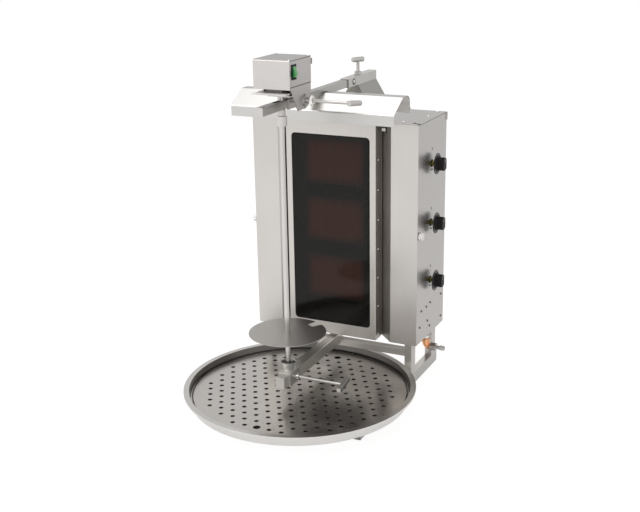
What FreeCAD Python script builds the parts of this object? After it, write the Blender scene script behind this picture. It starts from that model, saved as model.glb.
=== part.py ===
import FreeCAD, Part
import math
import os

os.makedirs("parts", exist_ok=True)

V = FreeCAD.Vector

# Gas doner kebab grill. Millimetres, +Z up, +X to the right, +Y to the back.
# Every size below is measured from the axis of the upright spit and the floor.
# On export the parts are moved so that the origin is on the floor, in the middle of the outline.

# Overall sizes
body_height = 611.0
core_half = 132.5
core_depth = 252.0
right_width = 119.5
left_width = 101.0
housing_depth = 215.0
spit_reach = 269.5
pan_radius = 309.0

# Where the body stands: its front is one reach behind the spit, its floor clear of the base
body_bottom = 127.0
front_y = spit_reach
body_top = body_bottom + body_height
core_back = front_y + core_depth
hump_depth = 36.5
outline_back = core_back + hump_depth
housing_back = front_y + housing_depth
right_outer = core_half + right_width
left_outer = -core_half - left_width
housing_face = 76.0

# Stock and clearances
sheet = 1.5
thick_sheet = 3.0
tube_wall = 1.5
seam = 0.3
slide_gap = 0.3
run_gap = 0.05
free_gap = 0.5

# Base frame
tube_w = 20.0
tube_h = 30.0
base_front = -64.0
base_over = 3.5
base_inset = 19.0
post_set_front = 14.5
post_set_rear = 8.5
cross_h = 20.0
cross_drop = 16.0
cap_flange = 2.0
cap_depth = 9.0

# Spit arm, saddle and bearing cup
arm_w = 25.0
arm_top = 120.0
arm_front = -47.0
saddle_front = -22.0
saddle_rear = 34.0
saddle_skirt = 2.0
cup_height = 24.7
cup_rim_r = 15.5
cup_base_r = 13.5
cup_wall = 2.2
cup_pin_x = 5.0
cup_pin_y = 27.0
cup_pin_r = 4.2

# Spit
spit_r = 6.75
spit_foot_r = 4.5
disc_r = 100.0
disc_rest = 81.0
disc_t = 1.5
disc_stop_h = 8.0
disc_stop_lip = 2.25
sleeve_drop = 41.5
sleeve_len = 25.0
sleeve_step = 3.5
socket_wall = 3.0
shaft_r = 5.0

# Top rail and its sleeve
rail_w = 20.0
rail_wall = 2.0
rail_rise = 70.5
rail_front = -110.0
rail_end_set = 28.0
rail_slot_front = -42.0
rail_slot_rear = 64.0
slot_clear = 0.8
sleeve_wall = 2.2
rail_sleeve_len = 191.0
rail_screw_set = 101.0

# Bracket tower behind the hood
tower_depth = 128.0
tower_foot_half = 53.0
tower_flange = 14.0

# Motor carriage
carriage_half = 47.0
web_rise = 19.5
web_front = -44.5
web_rear = 67.0
plate_front = -67.0
plate_rear = 68.0
plate_t = 2.0
spacer_h = 3.0
cover_right = 47.6
cover_front = -45.0
cover_rear = 67.5
cover_gap = 14.0
cover_height = 64.5
cover_bend = 3.5
carriage_screw_y = 38.0
shoe_wall = 3.0
shoe_front = 14.0
shoe_rear = 62.0
shaft_boss_r = 9.0
switch_y = -23.5
switch_rise = 35.0
switch_w = 23.0
switch_h = 36.0
gland_x = 30.0
gland_low = 41.0

# Drive gears
gear_module = 1.0
wheel_teeth = 48
pinion_teeth = 12
gear_face = 7.0
gear_backlash = 0.16

# Clamping handles: a threaded rod with a cross bar
rod_r = 4.3
bar_r = 7.0
bar_len = 64.0
short_bar = 36.0
arm_bar = 11.0
arm_bar_len = 58.0
arm_handle_y = 5.0
arm_handle_low = 11.5
arm_handle_reach = 142.5
carriage_handle_reach = 166.0
rail_handle_reach = 43.5

# Front frame, glass and burners
window_side = 17.0
window_low = 33.0
window_high = 43.0
window_r = 11.0
frame_return = 38.5
frame_bend = 2.5
glass_t = 4.0
glass_lap = 6.0
burner_inset = 27.5
burner_first = 66.5
burner_last = 14.5
burner_gap = 38.0
burner_setback = 22.5
burner_depth = 62.0
tile_t = 13.0

# Gas controls on the right side
valve_lead = 26.5
valve_stem_r = 4.0
knob_flange_r = 28.5
knob_flange_gap = 14.0
knob_flange_t = 2.0
knob_r = 17.2
knob_flat = 12.0
knob_len = 23.0
thumb_set = 12.5
thumb_rise = 311.0
thumb_r = 11.0
thumb_len = 11.0

# Gas inlet under the right side
inlet_set_y = 46.0
inlet_set_x = 20.0
inlet_drop = 48.0
inlet_pipe_r = 7.0
inlet_stub_r = 6.6
inlet_stub_len = 14.0

# Hood, measured from the top and the front of the body
hood_side = 21.0
hood_reach = 117.0
hood_lift = 14.0
hood_lip = 29.0
hood_slope_run = 60.5
hood_slope_rise = 36.0
hood_set = 9.5
hood_rear_lift = 32.0
hood_bend = 8.0
hood_rear_bend = 20.0
flue_half = 100.0
flue_height = 43.0
flue_depth = 70.0

# Drip pan
pan_post_gap = 1.04
pan_height = 32.0
pan_rim_w = 13.0
pan_wall_t = 1.5
pan_taper = 6.0
pan_ledge_h = 12.0
pan_ledge_w = 16.0
pan_plate_gap = 6.75
pan_plate_t = 2.0
plate_hole_r = 5.9
plate_pitch = 34.5
plate_border = 31.0
finger_r = 9.5
finger_row = 8


def box(x0, x1, y0, y1, z0, z1):
    return Part.makeBox(x1 - x0, y1 - y0, z1 - z0, V(x0, y0, z0))


def cyl(p, r, h, d=(0, 0, 1)):
    return Part.makeCylinder(r, h, V(*p), V(*d))


def cone(p, r0, r1, h, d=(0, 0, 1)):
    return Part.makeCone(r0, r1, h, V(*p), V(*d))


def join(shapes):
    whole = shapes[0]
    for shape in shapes[1:]:
        whole = whole.fuse(shape)
    return whole.removeSplitter()


def carve(shape, tools):
    for tool in tools:
        shape = shape.cut(tool)
    return shape


def prism_z(points, z0, z1):
    ring = [V(x, y, z0) for x, y in points]
    face = Part.Face(Part.makePolygon(ring + [ring[0]]))
    return face.extrude(V(0, 0, z1 - z0))


def prism_x(points, x0, x1):
    ring = [V(x0, y, z) for y, z in points]
    face = Part.Face(Part.makePolygon(ring + [ring[0]]))
    return face.extrude(V(x1 - x0, 0, 0))


def prism_y(points, y0, y1):
    ring = [V(x, y0, z) for x, z in points]
    face = Part.Face(Part.makePolygon(ring + [ring[0]]))
    return face.extrude(V(0, y1 - y0, 0))


def vertical_edges(shape):
    return [e for e in shape.Edges if abs(e.tangentAt(e.FirstParameter).z) > 0.99]


def edges_along(shape, axis, test):
    picked = []
    for edge in shape.Edges:
        if edge.Curve.TypeId != "Part::GeomLine":
            continue
        way = edge.tangentAt(edge.FirstParameter)
        if abs(way.dot(axis)) > 0.99 and test(edge.CenterOfMass):
            picked.append(edge)
    return picked


def revolve(profile, p, d=(0, 0, 1)):
    # profile: (radius, height) pairs around an upright axis, then turned to lie along d
    ring = [V(r, 0, h) for r, h in profile]
    face = Part.Face(Part.makePolygon(ring + [ring[0]]))
    solid = face.revolve(V(0, 0, 0), V(0, 0, 1), 360)
    solid.Placement = FreeCAD.Placement(V(*p), FreeCAD.Rotation(V(0, 0, 1), V(*d)))
    return solid


def pipe(path, r, turn_r):
    # round pipe through right-angled corners, each bent with a radius of turn_r
    pieces = []
    here = V(*path[0])
    for i in range(1, len(path)):
        corner = V(*path[i])
        way = (corner - here).normalize()
        if i == len(path) - 1:
            pieces.append(Part.makeCylinder(r, (corner - here).Length, here, way))
            break
        out = (V(*path[i + 1]) - corner).normalize()
        start = corner - way * turn_r
        pieces.append(Part.makeCylinder(r, (start - here).Length, here, way))
        ring = Part.Face(Part.Wire(Part.makeCircle(r, start, way)))
        pieces.append(ring.revolve(start + out * turn_r, way.cross(out), 90))
        here = corner + out * turn_r
    return join(pieces)


# Places that follow from the sizes
rail_x_right = right_outer - base_inset - tube_w
base_rear = housing_back + base_over
front_post_y = front_y + post_set_front
rear_post_y = housing_back - post_set_rear - tube_h
rail_bottom = body_top + rail_rise
rail_top = rail_bottom + rail_w
rail_half = rail_w / 2.0
arm_half = arm_w / 2.0
thumb_y = front_y + thumb_set
thumb_z = body_bottom + thumb_rise
inlet_x = right_outer - inlet_set_x
inlet_y = rear_post_y - inlet_set_y
valve_y = inlet_y - valve_lead
inlet_z = body_bottom - inlet_drop
window_half = core_half - window_side
window_bottom = body_bottom + window_low
window_top = body_top - window_high
burner_half = window_half - burner_inset
burner_count = 3
burner_room = window_top - burner_last - window_bottom - burner_first
burner_h = (burner_room - burner_gap * (burner_count - 1)) / burner_count
burner_low = window_bottom + burner_first + burner_h / 2.0
burner_z = [burner_low + i * (burner_h + burner_gap) for i in range(burner_count)]
burner_front = front_y + burner_setback
saddle_top = arm_top + slide_gap + thick_sheet
cup_floor = saddle_top + 5.0
socket_r = shaft_r + socket_wall + 1.5
sleeve_r = socket_r + sleeve_step

# The round pan stands between the floor rails, just clear of the two front posts
pan_center_x = 4.0
post_reach = rail_x_right - pan_center_x
pan_center_y = front_post_y - math.sqrt((pan_radius + pan_post_gap) ** 2 - post_reach ** 2)
outline_front = pan_center_y - pan_radius
origin = V(pan_center_x, (outline_front + outline_back) / 2.0, 0)


def export(name, shape):
    if isinstance(shape, list):
        shape = Part.makeCompound(shape)
    moved = shape.copy()
    moved.translate(origin * -1)
    moved.exportStep("parts/" + name + ".step")


def square_tube(x0, x1, y0, y1, z0, z1, wall, along):
    outer = box(x0, x1, y0, y1, z0, z1)
    grow = {"x": (0, wall, wall), "y": (wall, 0, wall), "z": (wall, wall, 0)}[along]
    inner = box(x0 + grow[0], x1 - grow[0], y0 + grow[1], y1 - grow[1], z0 + grow[2], z1 - grow[2])
    return outer.cut(inner)


def button_screw(p, d, head_r=3.2, head_h=1.8, shank_r=1.6, shank=5.0):
    # dome head with a cross slot, shank going into the sheet behind it
    dome_r = (head_r * head_r + head_h * head_h) / (2.0 * head_h)
    ball = Part.makeSphere(dome_r, V(0, 0, head_h - dome_r))
    head = ball.common(cyl((0, 0, 0), head_r, head_h + 1.0))
    slot_w = head_r * 0.3
    slot_l = head_r * 1.1
    slot_a = box(-slot_l / 2, slot_l / 2, -slot_w / 2, slot_w / 2, head_h * 0.45, head_h * 2)
    slot_b = box(-slot_w / 2, slot_w / 2, -slot_l / 2, slot_l / 2, head_h * 0.45, head_h * 2)
    screw = carve(head, [slot_a, slot_b]).fuse(cyl((0, 0, -shank), shank_r, shank))
    screw.Placement = FreeCAD.Placement(V(*p), FreeCAD.Rotation(V(0, 0, 1), V(*d)))
    return screw


def screw_hole(p, d, shank_r=1.6, reach=5.5):
    way = V(*d)
    start = V(*p) - way * reach
    return Part.makeCylinder(shank_r, reach + 1.0, start, way)


# Base frame: two floor rails, four posts, a cross rail and the spit arm.
# The floor rails stand evenly on both sides of the round pan.
rail_x_left = 2.0 * pan_center_x - rail_x_right - tube_w
housing_bottom = body_bottom + 2.0


def rail_box(x0):
    return square_tube(x0, x0 + tube_w, base_front, base_rear, 0, tube_h, tube_wall, "y")


export("base_rails", [rail_box(rail_x_left), rail_box(rail_x_right)])


def end_cap(x0, width, y, way, z0, z1, wall):
    flange = box(x0, x0 + width, min(y, y + way * cap_flange), max(y, y + way * cap_flange), z0, z1)
    grip = wall + 0.1
    plug_y0 = min(y, y - way * cap_depth)
    plug_y1 = max(y, y - way * cap_depth)
    plug = box(x0 + grip, x0 + width - grip, plug_y0, plug_y1, z0 + grip, z1 - grip)
    return flange.fuse(plug)


caps = []
for x0 in (rail_x_left, rail_x_right):
    caps.append(end_cap(x0, tube_w, base_front, -1, 0, tube_h, tube_wall))
    caps.append(end_cap(x0, tube_w, base_rear, 1, 0, tube_h, tube_wall))
export("rail_end_caps", caps)

posts = []
for x0 in (rail_x_left, rail_x_right):
    for y0 in (front_post_y, rear_post_y):
        post = square_tube(x0, x0 + tube_w, y0, y0 + tube_h, tube_h, housing_bottom, tube_wall, "z")
        posts.append(post)
export("posts", posts)

arm_bottom = arm_top - tube_h
cross_y1 = front_post_y + tube_h
cross_y0 = cross_y1 - cross_h
cross_top = arm_top - cross_drop
cross_z0 = cross_top - cross_h
cross = square_tube(rail_x_left + tube_w, rail_x_right, cross_y0, cross_y1, cross_z0, cross_top, tube_wall, "x")
export("cross_rail", cross)

# the arm is coped over the cross rail at its back end
arm = square_tube(-arm_half, arm_half, arm_front, cross_y1, arm_bottom, arm_top, 2.0, "y")
arm = arm.cut(box(-arm_w, arm_w, cross_y0, cross_y1 + 1, arm_bottom - 1, cross_top))
export("spit_arm", arm)
export("arm_end_cap", end_cap(-arm_half, arm_w, arm_front, -1, arm_bottom, arm_top, 2.0))

# Side housings: bent sheet boxes, open at the top under their lids
lid_bottom = body_top - sheet
side_gap = 1.6
right_inner = core_half + side_gap
right_face = right_outer - housing_face
chamfer = right_face - right_inner
left_face = left_outer + housing_face
left_chamfer = 12.5
left_inner = left_face + left_chamfer


def housing(outline, z0, z1):
    solid = prism_z(outline, z0, z1)
    top = [f for f in solid.Faces if f.CenterOfMass.z > z1 - 0.01]
    return solid.makeThickness(top, -sheet, 1e-3)


right_outline = [
    (right_outer, front_y),
    (right_outer, housing_back),
    (right_inner, housing_back),
    (right_inner, front_y + chamfer),
    (right_inner + chamfer, front_y),
]
left_outline = [
    (left_outer, front_y),
    (left_outer, housing_back),
    (left_inner, housing_back),
    (left_inner, front_y + left_chamfer),
    (left_face, front_y),
]
stem_hole_r = valve_stem_r + free_gap
right_side = housing(right_outline, housing_bottom, lid_bottom)
left_side = housing(left_outline, housing_bottom, lid_bottom)
thumb_hole_r = 3.0
holes = [cyl((right_outer - 10, valve_y, z), stem_hole_r, 20, (1, 0, 0)) for z in burner_z]
holes.append(cyl((right_outer - 10, thumb_y, thumb_z), thumb_hole_r + run_gap, 20, (1, 0, 0)))
holes.append(cyl((inlet_x, inlet_y, housing_bottom - 1), inlet_pipe_r + free_gap, 6))

# screws low on the housings: how far behind the front edge, or before the back edge, and how high
front_screws = ((107.5, 94.0), (77.5, 91.0), (38.0, 91.0), (86.5, 47.0), (104.5, 26.0), (26.5, 47.0))
back_screws = ((20.5, 91.0), (19.5, 24.0))
low_screws = [(front_y + set_in, body_bottom + up) for set_in, up in front_screws]
low_screws += [(housing_back - set_in, body_bottom + up) for set_in, up in back_screws]
screws = []
for y, z in low_screws:
    screws.append(button_screw((right_outer, y, z), (1, 0, 0)))
    holes.append(screw_hole((right_outer, y, z), (1, 0, 0)))
# above each valve stem an upright slot, below it a small fixing screw
mark_up = 39.5
mark_down = 17.0
slot_long = 7.0
slot_wide = 1.6
for z in burner_z:
    spot = (right_outer, valve_y, z - mark_down)
    screws.append(button_screw(spot, (1, 0, 0), 2.4, 1.4, 1.4, 4.0))
    holes.append(screw_hole(spot, (1, 0, 0), 1.4))
    holes.append(box(right_outer - 3, right_outer + 1, valve_y - slot_wide / 2, valve_y + slot_wide / 2,
                     z + mark_up - slot_long / 2, z + mark_up + slot_long / 2))
left_holes = [cyl((left_outer - 10, thumb_y, thumb_z), thumb_hole_r + run_gap, 20, (1, 0, 0))]
for y, z in low_screws:
    screws.append(button_screw((left_outer, y, z), (-1, 0, 0)))
    left_holes.append(screw_hole((left_outer, y, z), (-1, 0, 0)))
right_side = carve(right_side, holes)
left_side = carve(left_side, left_holes)

# a feed hole in the inner wall of the right housing for each burner
feed_y = burner_front + burner_depth + 40.0
feed_r = 4.0
for z in burner_z:
    right_side = right_side.cut(cyl((right_inner - 5, feed_y, z), feed_r + free_gap, 20, (1, 0, 0)))

# Lids: flush with the sides of the housings, with a hem turned down over the back
lid_over = 1.8
hem = 18.0


def lid(x0, x1, corner, screw_points):
    plate = box(x0, x1, front_y, housing_back + lid_over, lid_bottom, body_top)
    back_hem = box(x0, x1, housing_back + seam, housing_back + lid_over, body_top - hem, lid_bottom)
    shape = plate.fuse(back_hem).removeSplitter()
    for x, y in screw_points:
        shape = shape.cut(screw_hole((x, y, body_top), (0, 0, 1)))
    return shape.cut(prism_z(corner, lid_bottom - 1, body_top + 1))


right_lid_screws = (
    (right_face + 24.0, front_y + 24.5),
    (right_outer - 21.0, (front_y + housing_back) / 2.0 + 21.0),
    (right_outer - 23.0, housing_back - 12.5),
)
left_lid_screws = (
    (left_face - 24.0, front_y + 24.5),
    (left_outer + 21.0, (front_y + housing_back) / 2.0 + 21.0),
    (left_outer + 23.0, housing_back - 12.5),
)
right_corner = [(right_inner - 1, front_y - 1), (right_face, front_y - 1), (right_face, front_y),
                (right_inner, front_y + chamfer), (right_inner - 1, front_y + chamfer)]
left_corner = [(left_inner + 1, front_y - 1), (left_face, front_y - 1), (left_face, front_y),
               (left_inner, front_y + left_chamfer), (left_inner + 1, front_y + left_chamfer)]
export("lid_right", lid(right_inner, right_outer, right_corner, right_lid_screws))
export("lid_left", lid(left_outer, left_inner, left_corner, left_lid_screws))
for x, y in right_lid_screws + left_lid_screws:
    screws.append(button_screw((x, y, body_top), (0, 0, 1)))

# Front frame with the window, wrapped back along its four sides
frame_back = front_y + frame_return
frame_solid = box(-core_half, core_half, front_y, frame_back, body_bottom, body_top)
bend_edges = edges_along(frame_solid, V(0, 0, 1), lambda c: c.y < front_y + 0.01)
frame_solid = frame_solid.makeFillet(frame_bend, bend_edges)
back_face = [f for f in frame_solid.Faces if f.CenterOfMass.y > frame_back - 0.01]
frame = frame_solid.makeThickness(back_face, -sheet, 1e-3)
window = box(-window_half, window_half, front_y - 1, front_y + sheet + 0.2, window_bottom, window_top)
window = window.makeFillet(window_r, edges_along(window, V(0, 1, 0), lambda c: True))
frame = frame.cut(window)
rivet_y = front_y + 16.0
rivet_count = 7
rivet_first = 14.0
rivet_last = 103.2
rivet_pitch = (body_height - rivet_first - rivet_last) / (rivet_count - 1)
rivet_low = body_bottom + rivet_first
rivet_holes = []
for side in (-1, 1):
    for i in range(rivet_count):
        spot = (side * core_half, rivet_y, rivet_low + i * rivet_pitch)
        rivet_holes.append(screw_hole(spot, (side, 0, 0), 1.4, 4.0))
        screws.append(button_screw(spot, (side, 0, 0), 2.6, 1.3, 1.4, 3.0))
frame = carve(frame, rivet_holes)

# a slot in the top return of the frame lets the hot gas out into the flue box
flue_slot = box(-flue_half + 12, flue_half - 12, front_y + 12, frame_back + 1, body_top - 5, body_top + 1)
frame = frame.cut(flue_slot)
export("burner_frame", frame)

# Glass behind the window, with a fibre seal around it
glass_y = front_y + sheet + seam
pane = box(-window_half - glass_lap, window_half + glass_lap, glass_y, glass_y + glass_t,
           window_bottom - glass_lap, window_top + glass_lap)
pane = pane.makeFillet(window_r, edges_along(pane, V(0, 1, 0), lambda c: True))
export("glass_pane", pane)
seal_w = 9.0
seal_in = window_half + glass_lap - seal_w
seal_out = window_half + glass_lap + 2.0
seal_y = glass_y + glass_t
seal = box(-seal_out, seal_out, seal_y, seal_y + 3, window_bottom - glass_lap - 2, window_top + glass_lap + 2)
seal = seal.cut(box(-seal_in, seal_in, seal_y - 1, seal_y + 4,
                    window_bottom - glass_lap + seal_w, window_top + glass_lap - seal_w))
export("glass_seal", seal)

# Core shell: the box behind the frame that carries the burners
shell_gap = 0.1
shell_half = core_half - sheet - shell_gap
shell_low = body_bottom + sheet + shell_gap
shell_high = body_top - sheet - shell_gap
shell_front = seal_y + 3.0 + seam
shell_back = core_back - sheet
shell = box(-shell_half, shell_half, shell_front, shell_back, shell_low, shell_high)
open_faces = [f for f in shell.Faces
              if abs(f.CenterOfMass.y - shell_front) < 0.01 or abs(f.CenterOfMass.y - shell_back) < 0.01]
shell = shell.makeThickness(open_faces, -sheet, 1e-3)
shell = carve(shell, rivet_holes)
hood_rear = front_y - hood_set
flue_back = hood_rear + flue_depth
shell = shell.cut(box(-flue_half + 12, flue_half - 12, front_y + 12, flue_back - 12, shell_high - 5, shell_high + 5))
for z in burner_z:
    shell = shell.cut(cyl((shell_half - 5, feed_y, z), feed_r + free_gap, 20, (1, 0, 0)))

# Rear cover: a shallow tray pushed over the back of the shell, with a raised box that has rows of vents
cover_lap = 14.0
hump_half = 104.0
hump_low = body_bottom + 40.0
rear_cover = box(-core_half, core_half, core_back - cover_lap, core_back, body_bottom, shell_high)
rear_well = box(-core_half + sheet, core_half - sheet, core_back - cover_lap - 1, core_back - sheet,
                body_bottom + sheet, body_top)
hump = box(-hump_half, hump_half, core_back - sheet, outline_back, hump_low, shell_high)
hump_well = box(-hump_half + sheet, hump_half - sheet, core_back - sheet - 1, outline_back - sheet,
                hump_low + sheet, shell_high - sheet)
rear_cover = carve(rear_cover.cut(rear_well).fuse(hump).removeSplitter(), [hump_well])
vent_w = 80.0
vent_h = 5.0
vent_x = 48.0
vent_pitch = 16.0
vent_rows = 8
for i in range(vent_rows):
    for x in (-vent_x, vent_x):
        for z in (hump_low + 20.0 + i * vent_pitch, shell_high - 25.0 - i * vent_pitch):
            rear_cover = rear_cover.cut(box(x - vent_w / 2, x + vent_w / 2, outline_back - 5, outline_back + 1,
                                            z, z + vent_h))
export("rear_cover", rear_cover)

# Three infrared burners: a steel box with a mixing tube, and a ceramic tile on its face
boxes = []
tiles = []
mount_lip = 18.0
mix_r = 11.0
mix_end = 70.0
groove = 1.2
cells = 6
for z in burner_z:
    y1 = burner_front + burner_depth
    case = box(-burner_half, burner_half, burner_front, y1, z - burner_h / 2, z + burner_h / 2)
    case = case.cut(box(-burner_half + sheet, burner_half - sheet, burner_front - 1, y1 - sheet,
                        z - burner_h / 2 + sheet, z + burner_h / 2 - sheet))
    ears = box(-shell_half + sheet, shell_half - sheet, y1 - mount_lip, y1 - mount_lip + sheet, z - 30, z + 30)
    ears = ears.cut(box(-burner_half + sheet / 2, burner_half - sheet / 2, y1 - 30, y1, z - 40, z + 40))
    mixer = cyl((0, y1 - sheet, z), mix_r, feed_y - y1 + mix_r, (0, 1, 0))
    cross_tube = cyl((-mix_r, feed_y, z), mix_r, mix_end + mix_r, (1, 0, 0))
    bore_a = cyl((0, y1 - sheet - 1, z), mix_r - sheet, feed_y - y1 + 2, (0, 1, 0))
    bore_b = cyl((-mix_r + sheet, feed_y, z), mix_r - sheet, mix_end + 2 * mix_r, (1, 0, 0))
    solid = carve(join([case, ears, mixer, cross_tube]), [bore_a, bore_b])
    boxes.append(solid)
    tile = box(-burner_half + sheet, burner_half - sheet, burner_front, burner_front + tile_t,
               z - burner_h / 2 + sheet, z + burner_h / 2 - sheet)
    step = 2.0 * (burner_half - sheet) / cells
    for k in range(1, cells):
        x = -burner_half + sheet + k * step
        tile = tile.cut(box(x - groove / 2, x + groove / 2, burner_front - 1, burner_front + 2,
                            z - burner_h, z + burner_h))
    tiles.append(tile)
export("burner_boxes", boxes)
export("ceramic_tiles", tiles)

# Gas line in the right housing: manifold, three valves, feed pipes with injectors
manifold_r = 8.0
manifold_top = burner_z[2] + 24.0
valve_back = right_outer - 56.0
valve_front = right_outer - sheet - 8.0
valve_half = 11.0
manifold = cyl((inlet_x, inlet_y, inlet_z + 25), inlet_pipe_r, 60)
manifold = manifold.fuse(cyl((inlet_x, inlet_y, inlet_z + 85), manifold_r, manifold_top - inlet_z - 85))
manifold_cuts = [box(inlet_x - valve_half, inlet_x + valve_half, valve_y - 14, inlet_y - manifold_r + 3,
                     z - 16, z + 16) for z in burner_z]
manifold = carve(manifold, manifold_cuts)
export("gas_manifold", manifold)
valves = []
for z in burner_z:
    block = box(valve_back, valve_front, valve_y - 14, inlet_y - manifold_r + 3, z - 15, z + 15)
    neck = cyl((valve_front - 1, valve_y, z), 9.0, 7.0, (1, 0, 0))
    seat = cyl((valve_front - 26, valve_y, z), valve_stem_r + run_gap, 40, (1, 0, 0))
    valves.append(carve(join([block, neck]), [seat]))
export("gas_valves", valves)
pipes = []
jet_x = mix_end + 2.0
feed_bend = 12.0
for z in burner_z:
    turn_x = valve_back - 26.0
    path = [(valve_back, valve_y, z), (turn_x, valve_y, z), (turn_x, feed_y, z), (jet_x, feed_y, z)]
    jet = cyl((jet_x, feed_y, z), mix_r - sheet - 1.0, 14, (1, 0, 0))
    pipes.append(pipe(path, feed_r, feed_bend).fuse(jet))
export("feed_pipes", pipes)
probes = []
for z in burner_z:
    stick = cyl((burner_half - 14, burner_front - 6, z - burner_h / 2 - 8), 1.6, 30, (0, 0, 1))
    collar = cyl((burner_half - 14, burner_front - 6, z - burner_h / 2 - 12), 3.2, 8, (0, 0, 1))
    clip = box(burner_half - 18, burner_half - 10, burner_front - 6, burner_front + 16,
               z - burner_h / 2 - 10.5, z - burner_h / 2 - 9)
    leg = box(burner_half - 18, burner_half - 10, burner_front + 14.5, burner_front + 16,
              z - burner_h / 2 - 10.5, z - burner_h / 2)
    probes.append(join([stick, collar, clip, leg]))
export("thermocouples", probes)

# Gas inlet: copper elbow under the housing, with a hexagon fitting and a threaded stub
elbow_r = 9.0
elbow_path = [(inlet_x, inlet_y, inlet_z + 25), (inlet_x, inlet_y, inlet_z), (inlet_x + 16, inlet_y, inlet_z)]
elbow = pipe(elbow_path, elbow_r, 11.0)
elbow = elbow.fuse(cyl((inlet_x, inlet_y, inlet_z + 13), elbow_r + 3.0, 9)).removeSplitter()
export("inlet_elbow", elbow)
hex_pts = []
hex_r = 12.5
for i in range(6):
    a = math.radians(60 * i + 30)
    hex_pts.append((inlet_y + hex_r * math.cos(a), inlet_z + hex_r * math.sin(a)))
tap = prism_x(hex_pts, inlet_x + 16, inlet_x + 32)
tap = tap.fuse(cyl((inlet_x + 32, inlet_y, inlet_z), inlet_stub_r - 1.2, 10, (1, 0, 0)))
tap = tap.fuse(cyl((inlet_x + 42, inlet_y, inlet_z), inlet_stub_r, inlet_stub_len, (1, 0, 0)))
tap = tap.cut(cyl((inlet_x + 20, inlet_y, inlet_z), 3.0, 60, (1, 0, 0))).removeSplitter()
export("inlet_tap", tap)

export("housing_right", right_side)
export("housing_left", left_side)

# Hood: one bent sheet, held in the middle by the flue box
hood_half = right_outer - hood_side
hood_lip_y = front_y - hood_reach
hood_lip_low = body_top + hood_lift
hood_lip_high = hood_lip_low + hood_lip
hood_slope_y = hood_lip_y + hood_slope_run
hood_top = hood_lip_high + hood_slope_rise
hood_rear_low = body_top + hood_rear_lift
flue_top = body_top + flue_height
hood_outer = [
    (hood_lip_y, hood_lip_low),
    (hood_lip_y, hood_lip_high),
    (hood_slope_y, hood_top),
    (hood_rear, hood_top),
    (hood_rear, hood_rear_low),
    (hood_rear, hood_lip_low),
]
hood_block = prism_x(hood_outer, -hood_half, hood_half)
front_bends = edges_along(hood_block, V(1, 0, 0), lambda c: c.z > hood_lip_high - 1 and c.y < hood_rear - 1)
hood_block = hood_block.makeFillet(hood_bend, front_bends)
rear_bend = edges_along(hood_block, V(1, 0, 0), lambda c: c.z > hood_top - 1 and c.y > hood_rear - 1)
hood_block = hood_block.makeFillet(hood_rear_bend, rear_bend)
open_sides = [f for f in hood_block.Faces
              if abs(abs(f.CenterOfMass.x) - hood_half) < 0.01 or f.CenterOfMass.z < hood_lip_low + 0.01]
hood = hood_block.makeThickness(open_sides, -sheet, 1e-3)
hood = hood.cut(box(-hood_half - 1, hood_half + 1, hood_rear - 5, hood_rear + 1, hood_lip_low - 1, hood_rear_low))
flue = box(-flue_half, flue_half, hood_rear, flue_back, body_top, flue_top)
flue = flue.cut(box(-flue_half + sheet, flue_half - sheet, hood_rear + sheet, flue_back - sheet,
                    body_top - 1, flue_top + 1))
flue_floor = box(-flue_half + 0.5, flue_half - 0.5, hood_rear + 0.5, front_y + 12, body_top, body_top + sheet)
flue = flue.fuse(flue_floor)
flue = flue.removeSplitter()
hood_screw_z = flue_top - 5.5
for x in (-70.0, 0.0, 70.0):
    spot = (x, hood_rear - sheet, hood_screw_z)
    hood = hood.cut(screw_hole(spot, (0, -1, 0)))
    flue = flue.cut(screw_hole(spot, (0, -1, 0)))
    screws.append(button_screw(spot, (0, -1, 0)))
# the rail passes through a notch in the middle of the hood
notch_half = rail_half + 5.0
hood = hood.cut(box(-notch_half, notch_half, hood_lip_y, hood_rear + 1, rail_bottom - 5.0, hood_top + 1))
export("hood", hood)
export("flue_box", flue)

# Bracket tower: a folded sheet that spreads from the sleeve down to the core
tower_back = outline_back
tower_front = tower_back - tower_depth
sleeve_half = rail_half + slide_gap + sleeve_wall
sleeve_low = rail_bottom - slide_gap - sleeve_wall
sleeve_high = rail_top + slide_gap + sleeve_wall
tower_low = shell_high
spread = tower_foot_half - sleeve_half
rise = sleeve_low - tower_low
lean = math.hypot(spread, rise)
skin = thick_sheet * lean / rise
tower_outer = [
    (-tower_foot_half - tower_flange, tower_low),
    (-tower_foot_half - tower_flange, tower_low + thick_sheet),
    (-tower_foot_half, tower_low + thick_sheet),
    (-sleeve_half, sleeve_low),
    (sleeve_half, sleeve_low),
    (tower_foot_half, tower_low + thick_sheet),
    (tower_foot_half + tower_flange, tower_low + thick_sheet),
    (tower_foot_half + tower_flange, tower_low),
]
tower_inner = [
    (-tower_foot_half + skin, tower_low - 1),
    (-sleeve_half + skin, sleeve_low - thick_sheet),
    (sleeve_half - skin, sleeve_low - thick_sheet),
    (tower_foot_half - skin, tower_low - 1),
]
tower = prism_y(tower_outer, tower_front, tower_back)
tower = tower.cut(prism_y(tower_inner, tower_front + thick_sheet, tower_back + 1))
# the front wall has no flanges at its foot
flange_out = tower_foot_half + tower_flange + 1.0
for side in (-1, 1):
    x0, x1 = sorted((side * tower_foot_half, side * flange_out))
    tower = tower.cut(box(x0, x1, tower_front - 1, tower_front + 4, tower_low - 1, tower_low + thick_sheet))
for side in (-1, 1):
    for y in (tower_front + 20.0, core_back - 12.0):
        spot = (side * (tower_foot_half + 7), y, tower_low + thick_sheet)
        tower = tower.cut(screw_hole(spot, (0, 0, 1)))
        shell_spot = screw_hole(spot, (0, 0, 1))
        shell = shell.cut(shell_spot)
        screws.append(button_screw(spot, (0, 0, 1)))
export("core_shell", shell)
export("bracket_tower", tower)

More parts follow.
